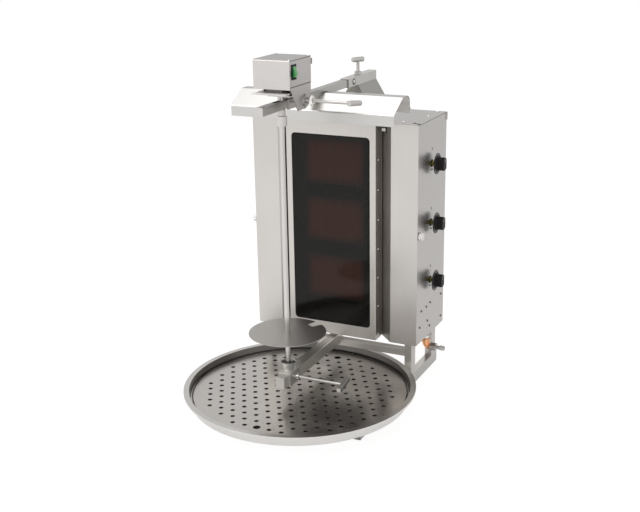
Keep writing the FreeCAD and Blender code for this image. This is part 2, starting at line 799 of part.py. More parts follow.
# Sleeve that takes the top rail, with a clamping collar on top and a through bolt
rail_sleeve_rear = tower_back
rail_sleeve_front = rail_sleeve_rear - rail_sleeve_len
rail_screw_y = tower_back - rail_screw_set
rail_sleeve = square_tube(-sleeve_half, sleeve_half, rail_sleeve_front, rail_sleeve_rear,
                          sleeve_low, sleeve_high, sleeve_wall, "y")
sleeve_bolt_y = rail_sleeve_front + 36.0
rail_mid = (rail_bottom + rail_top) / 2.0
rail_sleeve = rail_sleeve.cut(cyl((sleeve_half - 3, sleeve_bolt_y, rail_mid), 2.5, 6, (1, 0, 0)))
screw_bore = cyl((0, rail_screw_y, rail_top - 2), rod_r + run_gap, 40)
rail_sleeve = rail_sleeve.cut(screw_bore)
export("rail_sleeve", rail_sleeve)
collar = cyl((0, rail_screw_y, sleeve_high), 10.0, 8.0).cut(screw_bore)
export("clamp_collar", collar)
screws.append(button_screw((sleeve_half, sleeve_bolt_y, rail_mid), (1, 0, 0), 6.5, 3.0, 2.5, 2.0))
export("body_screws", screws)

# Top rail: square tube, slotted where the drive shaft passes through
rail_rear = tower_back - rail_end_set
rail_slot_w = 2.0 * (shaft_r + slot_clear)
top_rail = square_tube(-rail_half, rail_half, rail_front, rail_rear, rail_bottom, rail_top, rail_wall, "y")
slot = box(-rail_slot_w / 2, rail_slot_w / 2, rail_slot_front, rail_slot_rear, rail_bottom - 1, rail_top + 1)
slot = slot.makeFillet(rail_slot_w / 2 - 0.01, vertical_edges(slot))
top_rail = top_rail.cut(slot)
stop_y = rail_front + 16.0
top_rail = top_rail.fuse(cyl((0, stop_y, rail_top - rail_wall), 3.0, rail_wall + 2.4)).removeSplitter()
export("top_rail", top_rail)
plug = end_cap(-rail_half, rail_w, rail_front, -1, rail_bottom, rail_top, rail_wall)
export("rail_end_plug", plug)


def clamp_handle(tip, way, reach, bar):
    # rod along way from its tip, with a cross bar laid over its far end
    d = V(*way)
    rod = Part.makeCylinder(rod_r, reach, V(*tip), d)
    placed = bar.copy()
    placed.translate(V(*tip) + d * reach)
    return rod.fuse(placed).removeSplitter()


def round_bar(length, along):
    b = V(*along).normalize()
    bar = Part.makeCylinder(bar_r, length, b * (length / -2.0), b)
    rim = [e for e in bar.Edges if e.Curve.TypeId == "Part::GeomCircle"]
    return bar.makeChamfer(0.8, rim)


short_turn = math.radians(58.0)
short_handle_bar = round_bar(short_bar, (math.cos(short_turn), math.sin(short_turn), 0))
export("rail_clamp_handle", clamp_handle((0, rail_screw_y, rail_top + slide_gap), (0, 0, 1),
                                         rail_handle_reach - slide_gap, short_handle_bar))

# Motor carriage: a web over the rail, a shoe that runs along it, one side plate up to the cover
carriage_web_top = rail_top + web_rise
web_bottom = carriage_web_top - thick_sheet
plate_bottom = carriage_web_top + spacer_h
plate_top = plate_bottom + plate_t
cover_bottom = plate_top + cover_gap
cover_top = cover_bottom + cover_height
side_top = cover_bottom - seam
side_low = rail_bottom - 1.9
side_outline = [
    (web_front, side_top),
    (-1.7, side_low),
    (shoe_rear - 22.0, side_low),
    (web_rear, side_low + 40.0),
    (web_rear, side_top),
]
side_plate = prism_x(side_outline, carriage_half - thick_sheet, carriage_half)
shoe_in = rail_half + slide_gap
shoe_out = shoe_in + shoe_wall
shoe_low = rail_bottom - slide_gap - shoe_wall
web = box(-shoe_out, carriage_half, web_front, web_rear, web_bottom, carriage_web_top)
shoe = box(-shoe_out, shoe_out, shoe_front, shoe_rear, shoe_low, web_bottom)
shoe = shoe.cut(box(-shoe_in, shoe_in, shoe_front - 1, shoe_rear + 1, rail_bottom - slide_gap, rail_top + slide_gap))
shoe = shoe.cut(box(-rail_half + 3.0, rail_half - 3.0, shoe_front - 1, shoe_rear + 1, shoe_low - 1, rail_bottom))
shaft_boss = cyl((0, 0, rail_top + slide_gap), shaft_boss_r, web_bottom - rail_top - slide_gap)
carriage_screw_z = rail_top - 2.0
boss = cyl((shoe_out - 1, carriage_screw_y, carriage_screw_z), 8.0, carriage_half - shoe_out + 1, (1, 0, 0))
flange = cyl((carriage_half, carriage_screw_y, carriage_screw_z), 15.5, 3.0, (1, 0, 0))
neck = cyl((carriage_half + 3.0, carriage_screw_y, carriage_screw_z), 7.0, 12.0, (1, 0, 0))
carriage = join([web, shoe, shaft_boss, side_plate, boss, flange, neck])
carriage = carve(carriage, [
    cyl((rail_half - 5, carriage_screw_y, carriage_screw_z), rod_r + run_gap, 80, (1, 0, 0)),
    cyl((0, 0, rail_top - 5), shaft_r + free_gap, 60),
])
export("carriage_frame", carriage)
handle_tip = rail_half + slide_gap
long_turn = math.radians(-8.0)
long_handle_bar = round_bar(bar_len, (0, math.cos(long_turn), math.sin(long_turn)))
export("carriage_clamp_handle", clamp_handle((handle_tip, carriage_screw_y, carriage_screw_z), (1, 0, 0),
                                             carriage_handle_reach - slide_gap, long_handle_bar))

# Motor plate on spacers, with a rounded front; two feet at the left carry the cover there
plate_left = -48.0
plate_right = carriage_half - thick_sheet - free_gap
motor_plate = box(plate_left, plate_right, plate_front, plate_rear, plate_bottom, plate_top)
corner = edges_along(motor_plate, V(0, 0, 1), lambda c: c.y < plate_front + 0.01)
motor_plate = motor_plate.makeFillet(9.0, corner)
spacer_r = 5.0
for x in (-7.0, carriage_half - 11.0):
    for y in (web_front + 8.5, web_rear - 9.0):
        motor_plate = motor_plate.fuse(cyl((x, y, carriage_web_top), spacer_r, spacer_h))
motor_plate = motor_plate.cut(cyl((0, 0, plate_bottom - 5), shaft_r + free_gap, 20))
cover_left = -50.0
cover_right = 47.6
foot_w = 7.0
for y in (cover_front + 45.0, cover_rear - 10.0):
    foot = box(cover_left + 2.0, cover_left + 2.0 + foot_w, y, y + 8, plate_top, cover_bottom + 10.0)
    motor_plate = motor_plate.fuse(foot)
motor_plate = motor_plate.removeSplitter()
export("motor_plate", motor_plate)

pinion_r = gear_module * pinion_teeth / 2.0
wheel_r = gear_module * wheel_teeth / 2.0
pinion_y = pinion_r + wheel_r
case_low = plate_top
gear_low = case_low + 12.0
case_high = gear_low + gear_face + 6.0
case_wall = 3.0
case_half = wheel_r + 3.0 + case_wall
case_back = pinion_y + pinion_r + 6.0 + case_wall
case = box(-case_half, case_half, -case_half, case_back, case_low, case_high)
case = case.makeFillet(8.0, vertical_edges(case))
room = box(-case_half + case_wall, case_half - case_wall, -case_half + case_wall, case_back - case_wall,
           gear_low - 2.0, gear_low + gear_face + 2.0)
case = carve(case, [
    room,
    cyl((0, 0, case_low - 1), shaft_r + run_gap, 20),
    cyl((0, pinion_y, gear_low + gear_face), 6.0 + run_gap, 20),
])
export("gear_case", case)
motor_r = 17.0
motor_high = cover_top - sheet - 4.0
motor = cyl((0, pinion_y, case_high), motor_r, motor_high - case_high)
motor = motor.fuse(cyl((0, pinion_y, motor_high - 6), motor_r + 1.5, 4.0))
motor = motor.cut(cyl((0, pinion_y, case_high - 1), 3.0 + run_gap, 20)).removeSplitter()
export("motor_can", motor)


def gear(teeth, y, z0, z1, turn, bore_r):
    root = gear_module * (teeth / 2.0 - 1.25)
    tip = gear_module * (teeth / 2.0 + 0.9)
    pitch = gear_module * teeth / 2.0
    half = (math.pi * gear_module / 4.0 - gear_backlash) / pitch
    points = []
    for i in range(teeth):
        a = 2.0 * math.pi * i / teeth + turn
        for r, w in ((root, 1.75), (pitch, 1.0), (tip, 0.5)):
            points.append((r, a - half * w))
        for r, w in ((tip, 0.5), (pitch, 1.0), (root, 1.75)):
            points.append((r, a + half * w))
    flat = [(r * math.cos(a), y + r * math.sin(a)) for r, a in points]
    body = prism_z(flat, z0, z1)
    if bore_r > 0:
        body = body.cut(cyl((0, y, z0 - 1), bore_r, z1 - z0 + 2))
    return body


# a pinion tooth points at a gap of the wheel along +Y
wheel_turn = math.pi / 2.0 + math.pi / wheel_teeth
pinion_turn = -math.pi / 2.0
pinion = gear(pinion_teeth, pinion_y, gear_low, gear_low + gear_face, pinion_turn, 0)
pinion = pinion.fuse(cyl((0, pinion_y, gear_low + gear_face), 3.0, case_high - gear_low - gear_face + 12))
export("drive_pinion", pinion.removeSplitter())
wheel = gear(wheel_teeth, 0, gear_low, gear_low + gear_face, wheel_turn, 0)
socket_top = rail_bottom - slide_gap - 1.0
spit_height = rail_bottom - sleeve_drop
shaft = cyl((0, 0, socket_top), shaft_r, gear_low - socket_top)
hub = cyl((0, 0, gear_low + gear_face), 7.0, 1.5)
socket = cyl((0, 0, spit_height + sleeve_len), socket_r, socket_top - spit_height - sleeve_len)
tang = cyl((0, 0, spit_height + 1.0), socket_r - 3.0, sleeve_len - 1.0)
output = join([wheel, shaft, hub, socket, tang])
export("output_wheel", output)

# Cover: front and top are one bend, the sides are let in behind it
cover = box(cover_left, cover_right, cover_front, cover_rear, cover_bottom, cover_top)
bend = edges_along(cover, V(1, 0, 0), lambda c: c.y < cover_front + 0.01 and c.z > cover_top - 0.01)
cover = cover.makeFillet(cover_bend, bend)
under = [f for f in cover.Faces if f.CenterOfMass.z < cover_bottom + 0.01]
cover = cover.makeThickness(under, -sheet, 1e-3)
gland_bore = 3.6
switch_z = cover_bottom + switch_rise
gland_z = cover_bottom + gland_low
cover = carve(cover, [
    box(cover_right - 5, cover_right + 5, switch_y - switch_w / 2 + 2, switch_y + switch_w / 2 - 2,
        switch_z - switch_h / 2 + 2, switch_z + switch_h / 2 - 2),
    cyl((gland_x, cover_rear - 5, gland_z), gland_bore + 1.6, 10, (0, 1, 0)),
])
seam_groove = 0.6
seam_w = 1.0
for x in (cover_left, cover_right):
    z = cover_top - 3.0
    cover = cover.cut(box(x - seam_groove, x + seam_groove, cover_front + 1, cover_rear + 1, z, z + seam_w))
export("motor_cover", cover)

# Rocker switch on the right side of the cover
bezel_t = 1.6
switch = box(cover_right - 18, cover_right, switch_y - switch_w / 2 + 2.2, switch_y + switch_w / 2 - 2.2,
             switch_z - switch_h / 2 + 2.2, switch_z + switch_h / 2 - 2.2)
switch = switch.fuse(box(cover_right, cover_right + bezel_t, switch_y - switch_w / 2, switch_y + switch_w / 2,
                         switch_z - switch_h / 2, switch_z + switch_h / 2))
rocker_w = switch_w - 8.0
rocker_h = switch_h - 8.0
rocker_reach = rocker_h / 2.0
rocker_gap = 0.4
pocket = box(cover_right - 9, cover_right + 5, switch_y - rocker_w / 2 - rocker_gap,
             switch_y + rocker_w / 2 + rocker_gap,
             switch_z - rocker_reach - rocker_gap, switch_z + rocker_reach + rocker_gap)
switch = switch.cut(pocket).removeSplitter()
pivot_x = cover_right - 3.0
pin_r = 1.2
switch = switch.cut(cyl((pivot_x, switch_y - rocker_w / 2 - 1.6, switch_z), pin_r + run_gap,
                        rocker_w + 3.2, (0, 1, 0)))
export("switch_housing", switch)
# the rocker rests pressed in at the top, so its lower half stands out
tilt = math.radians(9.0)
rise_out = cover_right + bezel_t + 2.0 - pivot_x
half_h = rocker_reach
rocker_pts = [(-2.2, -half_h * 0.72), (rise_out, -half_h), (rise_out - 1.6, 0.0), (rise_out, half_h),
              (-2.2, half_h * 0.72)]
turned = []
for px, pz in rocker_pts:
    rx = px * math.cos(tilt) - pz * math.sin(tilt)
    rz = px * math.sin(tilt) + pz * math.cos(tilt)
    turned.append((pivot_x + rx, switch_z + rz))
rocker = prism_y(turned, switch_y - rocker_w / 2, switch_y + rocker_w / 2)
# its ends are round about the pivot, so that they clear the pocket as it rocks
rocker = rocker.common(cyl((pivot_x, switch_y - rocker_w, switch_z), rocker_reach, rocker_w * 2, (0, 1, 0)))
rocker = rocker.fuse(cyl((pivot_x, switch_y - rocker_w / 2 - 1.2, switch_z), pin_r, rocker_w + 2.4, (0, 1, 0)))
export("switch_rocker", rocker.removeSplitter())

# Cord gland at the back of the cover
gland = cyl((gland_x, cover_rear, gland_z), 6.5, 2.5, (0, 1, 0))
gland = gland.fuse(cyl((gland_x, cover_rear - sheet - 2.0, gland_z), gland_bore + 1.5, 12.5, (0, 1, 0)))
gland = gland.cut(cyl((gland_x, cover_rear - 10, gland_z), gland_bore, 30, (0, 1, 0))).removeSplitter()
export("cable_gland", gland)

# Spit: upright rod with a foot, a bayonet sleeve on the drive and a sliding disc
cup_rim_z = saddle_top + cup_height
disc_z = cup_rim_z + disc_rest
foot_z = cup_floor + slide_gap
foot_h = 10.0
spit = cyl((0, 0, foot_z + foot_h), spit_r, spit_height - foot_z - foot_h - 1.0)
spit = spit.fuse(cone((0, 0, foot_z), spit_foot_r, spit_r, foot_h))
spit = spit.fuse(cyl((0, 0, disc_z - disc_stop_h - slide_gap), spit_r + disc_stop_lip, disc_stop_h))
export("spit_rod", spit.removeSplitter())
sleeve = cyl((0, 0, spit_height), sleeve_r, sleeve_len - 0.5)
sleeve = sleeve.cut(cyl((0, 0, spit_height + 1.0), socket_r - 3.0 + 0.1, sleeve_len))
# a bayonet notch cut up from the lower rim, then sideways
notch_w = 5.0
sleeve = sleeve.cut(box(-sleeve_r - 1, -socket_r + 4.0, -notch_w / 2 - 4, notch_w / 2 - 4,
                        spit_height - 1, spit_height + 12))
export("spit_sleeve", sleeve)
disc = cyl((0, 0, disc_z), disc_r, disc_t)
disc_bore = spit_r + slide_gap
disc = disc.cut(cyl((0, 0, disc_z - 1), disc_bore, disc_t + 2))
slot_dir = math.radians(62.0)
keyway = box(0, disc_r * 0.62, -0.8, 0.8, disc_z - 1, disc_z + disc_t + 1)
mouth = prism_z([(disc_r * 0.60, -8.0), (disc_r + 5, -15.0), (disc_r + 5, 15.0), (disc_r * 0.60, 8.0)],
                disc_z - 1, disc_z + disc_t + 1)
mouth = mouth.cut(prism_z([(0, -40), (disc_r * 0.72, -40), (disc_r * 0.72, 40), (0, 40)], disc_z - 2, disc_z + 5))
lead = box(disc_r * 0.6, disc_r * 0.74, -0.8, 0.8, disc_z - 1, disc_z + disc_t + 1)
for tool in (keyway, mouth, lead):
    tool.rotate(V(0, 0, 0), V(0, 0, 1), math.degrees(slot_dir))
    disc = disc.cut(tool)
export("spit_disc", disc)

# Saddle on the arm with the bearing cup and its clamp
saddle_in = arm_half + slide_gap
saddle_out = saddle_in + thick_sheet
saddle_low = arm_bottom - saddle_skirt
arm_handle_z = arm_top - arm_handle_low
saddle = box(-saddle_out, saddle_out, saddle_front, saddle_rear, saddle_low, saddle_top)
saddle = saddle.cut(box(-saddle_in, saddle_in, saddle_front - 1, saddle_rear + 1, saddle_low - 1, arm_top + slide_gap))
nut = cyl((saddle_out, arm_handle_y, arm_handle_z), 6.5, 7.0, (1, 0, 0))
arm_screw_bore = cyl((arm_half - 1, arm_handle_y, arm_handle_z), rod_r + run_gap, 40, (1, 0, 0))
saddle = saddle.fuse(nut).removeSplitter().cut(arm_screw_bore)
export("cup_saddle", saddle)
cup = revolve([
    (0, saddle_top), (cup_base_r, saddle_top), (cup_base_r + 0.8, saddle_top + 10),
    (cup_rim_r, cup_rim_z - 4), (cup_rim_r, cup_rim_z), (cup_rim_r - cup_wall, cup_rim_z),
    (cup_base_r - cup_wall, cup_floor + 6), (spit_r + 1.25, cup_floor), (0, cup_floor)], (0, 0, 0))
export("bearing_cup", cup)
pin_high = cup_rim_z - 4.0
lock_pin = cyl((cup_pin_x, cup_pin_y, saddle_top), cup_pin_r, pin_high - saddle_top)
lock_pin = lock_pin.makeFillet(1.6, [e for e in lock_pin.Edges if e.CenterOfMass.z > pin_high - 0.1])
export("cup_pin", lock_pin)
square_bar = box(-arm_bar / 2, arm_bar / 2, -arm_bar_len / 2, arm_bar_len / 2, -arm_bar / 2, arm_bar / 2)
square_bar = square_bar.makeChamfer(0.6, square_bar.Edges)
square_bar.rotate(V(0, 0, 0), V(1, 0, 0), 11.0)
export("arm_clamp_handle", clamp_handle((arm_half + slide_gap, arm_handle_y, arm_handle_z), (1, 0, 0),
                                        arm_handle_reach - slide_gap, square_bar))

# Gas knobs: a wide thin skirt and a black grip with two flat sides, on a brass stem
knob_names = ("gas_knob_lower", "gas_knob_middle", "gas_knob_upper")
stem_names = ("valve_stem_lower", "valve_stem_middle", "valve_stem_upper")
stem_in = valve_front - 20.0
stem_end = 12.0
knob_x = right_outer + knob_flange_gap
for z, knob_name, stem_name in zip(burner_z, knob_names, stem_names):
    stem = cyl((stem_in, valve_y, z), valve_stem_r, knob_x + stem_end - stem_in, (1, 0, 0))
    export(stem_name, stem)
    skirt = revolve([
        (0, 0), (knob_flange_r - 1.0, 0), (knob_flange_r, 0.6), (knob_flange_r, knob_flange_t - 0.5),
        (knob_flange_r - 2.0, knob_flange_t), (knob_r, knob_flange_t + 1.6), (knob_r - 1.0, knob_flange_t + 4.0),
        (0, knob_flange_t + 4.0)], (knob_x, valve_y, z), (1, 0, 0))
    grip = cyl((knob_x + knob_flange_t, valve_y, z), knob_r, knob_len - knob_flange_t, (1, 0, 0))
    grip = grip.common(box(knob_x, knob_x + knob_len, valve_y - knob_flat, valve_y + knob_flat,
                           z - knob_r, z + knob_r))
    face = [e for e in grip.Edges if e.BoundBox.XMin > knob_x + knob_len - 0.01]
    grip = grip.makeFillet(1.2, face)
    socket = cyl((knob_x - 1, valve_y, z), valve_stem_r + run_gap, stem_end + 1.0, (1, 0, 0))
    export(knob_name, skirt.fuse(grip).cut(socket).removeSplitter())


# Thumb knobs on the front edge of both sides
def thumb_knob(x, way):
    disc_part = cyl((x + way * seam, thumb_y, thumb_z), thumb_r, thumb_len, (way, 0, 0))
    rims = [e for e in disc_part.Edges if e.Curve.TypeId == "Part::GeomCircle"]
    disc_part = disc_part.makeFillet(1.5, rims)
    shank = cyl((x - way * 9.0, thumb_y, thumb_z), thumb_hole_r, 9.5, (way, 0, 0))
    knob = disc_part.fuse(shank).removeSplitter()
    flutes = 10
    for i in range(flutes):
        a = 2.0 * math.pi * i / flutes
        spot = (x + way * 1.5, thumb_y + (thumb_r + 1.0) * math.cos(a), thumb_z + (thumb_r + 1.0) * math.sin(a))
        knob = knob.cut(cyl(spot, 2.0, thumb_len, (way, 0, 0)))
    return knob


export("side_knob_right", thumb_knob(right_outer, 1))
export("side_knob_left", thumb_knob(left_outer, -1))

# Drip pan: round tray with a flat rim, standing on the floor rails
pan_floor = tube_h
pan_rim_z = pan_floor + pan_height
pan_ledge_z = pan_floor + pan_ledge_h
wall_top_r = pan_radius - pan_rim_w
wall_low_r = wall_top_r - pan_taper
ledge_r = wall_low_r + pan_taper * pan_ledge_h / pan_height
t = pan_wall_t
plate_r = ledge_r - t - pan_plate_gap
pan = revolve([
    (0, pan_floor), (wall_low_r, pan_floor), (wall_top_r, pan_rim_z - t), (pan_radius - t, pan_rim_z - t),
    (pan_radius - t, pan_rim_z - 5.0), (pan_radius, pan_rim_z - 5.0), (pan_radius, pan_rim_z),
    (wall_top_r - t, pan_rim_z), (ledge_r - t, pan_ledge_z), (ledge_r - pan_ledge_w, pan_ledge_z),
    (ledge_r - pan_ledge_w, pan_ledge_z - t), (ledge_r - 2.0 * t, pan_ledge_z - t),
    (wall_low_r - 1.3 * t, pan_floor + t), (0, pan_floor + t)], (pan_center_x, pan_center_y, 0))
export("drip_pan", pan)

# Perforated plate: a staggered pattern of round holes, two of them wider for the fingers
plate_z = pan_ledge_z
plate = cyl((pan_center_x, pan_center_y, plate_z), plate_r, pan_plate_t)
row_pitch = plate_pitch * math.sqrt(3.0) / 2.0
hole_limit = plate_r - plate_border
rows = int(plate_r / row_pitch) + 1
drills = []
for j in range(-rows, rows + 1):
    for i in range(-rows, rows + 1):
        x = (i + 0.5 * (j % 2)) * plate_pitch
        y = j * row_pitch
        if math.hypot(x, y) > hole_limit:
            continue
        wide = i == 0 and abs(j) == finger_row
        hole_r = finger_r if wide else plate_hole_r
        drills.append(cyl((pan_center_x + x, pan_center_y + y, plate_z - 1), hole_r, pan_plate_t + 2))
plate = plate.cut(Part.makeCompound(drills))
export("pan_plate", plate)
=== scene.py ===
import math

import bpy
import bmesh
from mathutils import Matrix, Vector


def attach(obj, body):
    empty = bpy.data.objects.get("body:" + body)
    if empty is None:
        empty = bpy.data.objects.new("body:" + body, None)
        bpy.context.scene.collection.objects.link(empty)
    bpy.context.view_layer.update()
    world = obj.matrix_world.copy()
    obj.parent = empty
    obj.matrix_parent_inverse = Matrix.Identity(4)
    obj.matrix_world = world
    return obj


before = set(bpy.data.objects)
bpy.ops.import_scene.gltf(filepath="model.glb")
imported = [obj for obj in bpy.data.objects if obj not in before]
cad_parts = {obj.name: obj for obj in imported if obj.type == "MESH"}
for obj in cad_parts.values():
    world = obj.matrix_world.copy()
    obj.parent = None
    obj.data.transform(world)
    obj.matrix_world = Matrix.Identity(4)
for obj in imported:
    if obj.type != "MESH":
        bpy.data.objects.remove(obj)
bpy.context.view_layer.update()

# Places and sizes of pieces are in millimetres, measured from the axis of the spit and the floor, as in the
# construction.
SHIFT = Vector((4.0, 152.0, 0.0))
MM_PER_M = 1000.0
X = Vector((1, 0, 0))
Y = Vector((0, 1, 0))
Z = Vector((0, 0, 1))


def P(x, y, z):
    """A place in millimetres as a point of the model."""
    return (Vector((x, y, z)) - SHIFT) / MM_PER_M


# ---------------------------------------------------------------- places on the machine
KNOB_Z = {"lower": 289.5, "middle": 453.5, "upper": 617.5}     # also the heights of the burners
KNOB_Y = 373.5
BODY_X = 4.0
PAN_X, PAN_Y = 4.0, 55.0
PANEL_RIGHT, PANEL_LEFT = 252.0, -233.5
SIDES = (("right", PANEL_RIGHT, X), ("left", PANEL_LEFT, -X))
SHARP_ANGLE = 35


# ---------------------------------------------------------------- materials
NOISE_LOW, NOISE_HIGH = 0.3, 0.7       # nearly all of a noise texture's values lie between these
WHITE = (1, 1, 1)

# How far the surface's normal leans each way where the painted shade of faces that look that way begins, and
# where it is whole.
SIDEWAYS = (0.35, 0.95)
UPWARD = (0.15, 0.80)
FLAT = (0.89, 0.98)
UNDER = (-0.15, -0.60)
TOWARDS = (0.3, 0.8)

# The part of each burner tile that gets a painted glow, in metres.
ZONE_HALF_X = 0.089
ZONE_HALF_Z = 0.063
ZONE_DROP = 0.001
ZONE_SOFT = 0.022


class Tree:
    """A node tree, and short ways to add to it. A value is a number, a node, or a node and its output."""

    def __init__(self, tree):
        self.tree = tree
        self.tree.nodes.clear()

    def add(self, kind, **values):
        node = self.tree.nodes.new(kind)
        for key, value in values.items():
            setattr(node, key, value)
        return node

    def link(self, a, out, b, into):
        self.tree.links.new(a.outputs[out], b.inputs[into])

    def math(self, op, *values):
        node = self.add("ShaderNodeMath", operation=op)
        for i, value in enumerate(values):
            if isinstance(value, (int, float)):
                node.inputs[i].default_value = value
            elif isinstance(value, tuple):
                self.link(*value, node, i)
            else:
                self.link(value, 0, node, i)
        return node

    def mix_shaders(self, share, first, second, out):
        """Mixes two shaders into the output. Share is the part of the second one."""
        mix = self.add("ShaderNodeMixShader")
        if isinstance(share, float):
            mix.inputs[0].default_value = share
        else:
            self.link(share, 0, mix, 0)
        self.link(first, 0, mix, 1)
        self.link(second, 0, mix, 2)
        self.link(mix, 0, out, "Surface")


class Shader(Tree):
    """A material with one Principled surface, its colour, roughness and relief built up in layers."""

    def __init__(self, name):
        self.mat = bpy.data.materials.new(name)
        self.mat.use_nodes = True
        super().__init__(self.mat.node_tree)
        self.out = self.add("ShaderNodeOutputMaterial")
        self.bsdf = self.add("ShaderNodeBsdfPrincipled")
        self.link(self.bsdf, 0, self.out, "Surface")
        self.coord = self.add("ShaderNodeTexCoord")

    def put(self, name, value):
        self.bsdf.inputs[name].default_value = value

    def noise(self, scale, detail, rough, stretch=(1, 1, 1)):
        mapping = self.add("ShaderNodeMapping")
        mapping.inputs["Scale"].default_value = stretch
        self.link(self.coord, "Object", mapping, "Vector")
        tex = self.add("ShaderNodeTexNoise")
        tex.inputs["Scale"].default_value = scale
        tex.inputs["Detail"].default_value = detail
        tex.inputs["Roughness"].default_value = rough
        self.link(mapping, 0, tex, "Vector")
        return tex

    def ramp(self, source, low, high, to_low, to_high, out=0):
        node = self.add("ShaderNodeMapRange")
        node.inputs["From Min"].default_value = low
        node.inputs["From Max"].default_value = high
        node.inputs["To Min"].default_value = to_low
        node.inputs["To Max"].default_value = to_high
        self.link(source, out, node, "Value")
        return node

    def spread(self, noise, to_low, to_high):
        """Spreads a noise's values over a range."""
        return self.ramp(noise, NOISE_LOW, NOISE_HIGH, to_low, to_high)

    def blend(self, factor, a, b, kind="MIX"):
        node = self.add("ShaderNodeMix", data_type="RGBA", blend_type=kind)
        if isinstance(factor, (int, float)):
            node.inputs[0].default_value = factor
        else:
            self.link(factor, 0, node, 0)
        for slot, value in ((6, a), (7, b)):
            if isinstance(value, tuple):
                node.inputs[slot].default_value = value + (1.0,)
            else:
                self.link(value, 2, node, slot)
        return node

    def mottled(self, noise, color, vary):
        """The colour, a little darker and lighter from place to place."""
        dark = tuple(c * (1.0 - vary) for c in color)
        light = tuple(min(1.0, c * (1.0 + vary)) for c in color)
        return self.blend(self.spread(noise, 0.0, 1.0), dark, light)

    def multiply(self, tone, other):
        return self.blend(1.0, tone, other, "MULTIPLY")

    def shade(self, tone, amount, color):
        """Multiplies the tone by a colour, as far as amount says."""
        return self.multiply(tone, self.blend(amount, WHITE, color))

    def paint(self, tone):
        self.link(tone, 2, self.bsdf, "Base Color")

    def facing(self):
        """How far the surface faces sideways, upwards, straight up, and downwards, each from 0 to 1, for the
        painted shade of steel.
        """
        split = self.add("ShaderNodeSeparateXYZ")
        self.link(self.coord, "Normal", split, 0)
        side = self.math("ABSOLUTE", split)
        return (self.ramp(side, *SIDEWAYS, 0.0, 1.0), self.ramp(split, *UPWARD, 0.0, 1.0, 2),
                self.ramp(split, *FLAT, 0.0, 1.0, 2), self.ramp(split, *UNDER, 0.0, 1.0, 2))

    def facing_point(self, centre):
        """How far an upright surface faces the upright line through centre, from 0 to 1."""
        away = self.add("ShaderNodeVectorMath", operation="SUBTRACT")
        self.link(self.coord, "Object", away, 0)
        away.inputs[1].default_value = centre
        level = self.add("ShaderNodeVectorMath", operation="MULTIPLY")
        self.link(away, 0, level, 0)
        level.inputs[1].default_value = (-1.0, -1.0, 0.0)
        unit = self.add("ShaderNodeVectorMath", operation="NORMALIZE")
        self.link(level, 0, unit, 0)
        dot = self.add("ShaderNodeVectorMath", operation="DOT_PRODUCT")
        self.link(unit, 0, dot, 0)
        self.link(self.coord, "Normal", dot, 1)
        return self.ramp(dot, *TOWARDS, 0.0, 1.0, "Value")

    def soft_step(self, source, half):
        """1 near the middle of a zone, falling smoothly to 0 at half its width."""
        node = self.ramp(source, half - ZONE_SOFT, half, 1.0, 0.0)
        node.interpolation_type = "SMOOTHSTEP"
        return node

    def painted_glow_zone(self):
        """Where the painted glow goes: 1 in the middle of each burner tile, falling to 0 towards its edges.
        """
        split = self.add("ShaderNodeSeparateXYZ")
        self.link(self.coord, "Object", split, 0)
        out_x = self.math("ABSOLUTE", self.math("SUBTRACT", split, P(BODY_X, 0, 0).x))
        across = self.soft_step(out_x, ZONE_HALF_X)
        rows = None
        for z in KNOB_Z.values():
            out_z = self.math("ABSOLUTE", self.math("SUBTRACT", (split, 2), z / MM_PER_M - ZONE_DROP))
            row = self.soft_step(out_z, ZONE_HALF_Z)
            rows = self.math("ADD", rows, row) if rows else row
        return self.math("MULTIPLY", across, rows)

    def relief(self, height, distance, strength, edge):
        """Bumps, and edges that look rounded by a radius of edge."""
        bump = self.add("ShaderNodeBump")
        bump.inputs["Strength"].default_value = strength
        bump.inputs["Distance"].default_value = distance
        self.link(height, 0, bump, "Height")
        if edge:
            bevel = self.add("ShaderNodeBevel", samples=4)
            bevel.inputs["Radius"].default_value = edge
            self.link(bevel, 0, bump, "Normal")
        self.link(bump, 0, self.bsdf, "Normal")


# How much the brushed grain is stretched: along x, y or z, or not at all.
GRAIN = {"x": (5, 330, 330), "y": (330, 5, 330), "z": (330, 330, 5), "n": (90, 90, 90)}
STREAK = 0.012
GRAIN_DEPTH = 0.00001


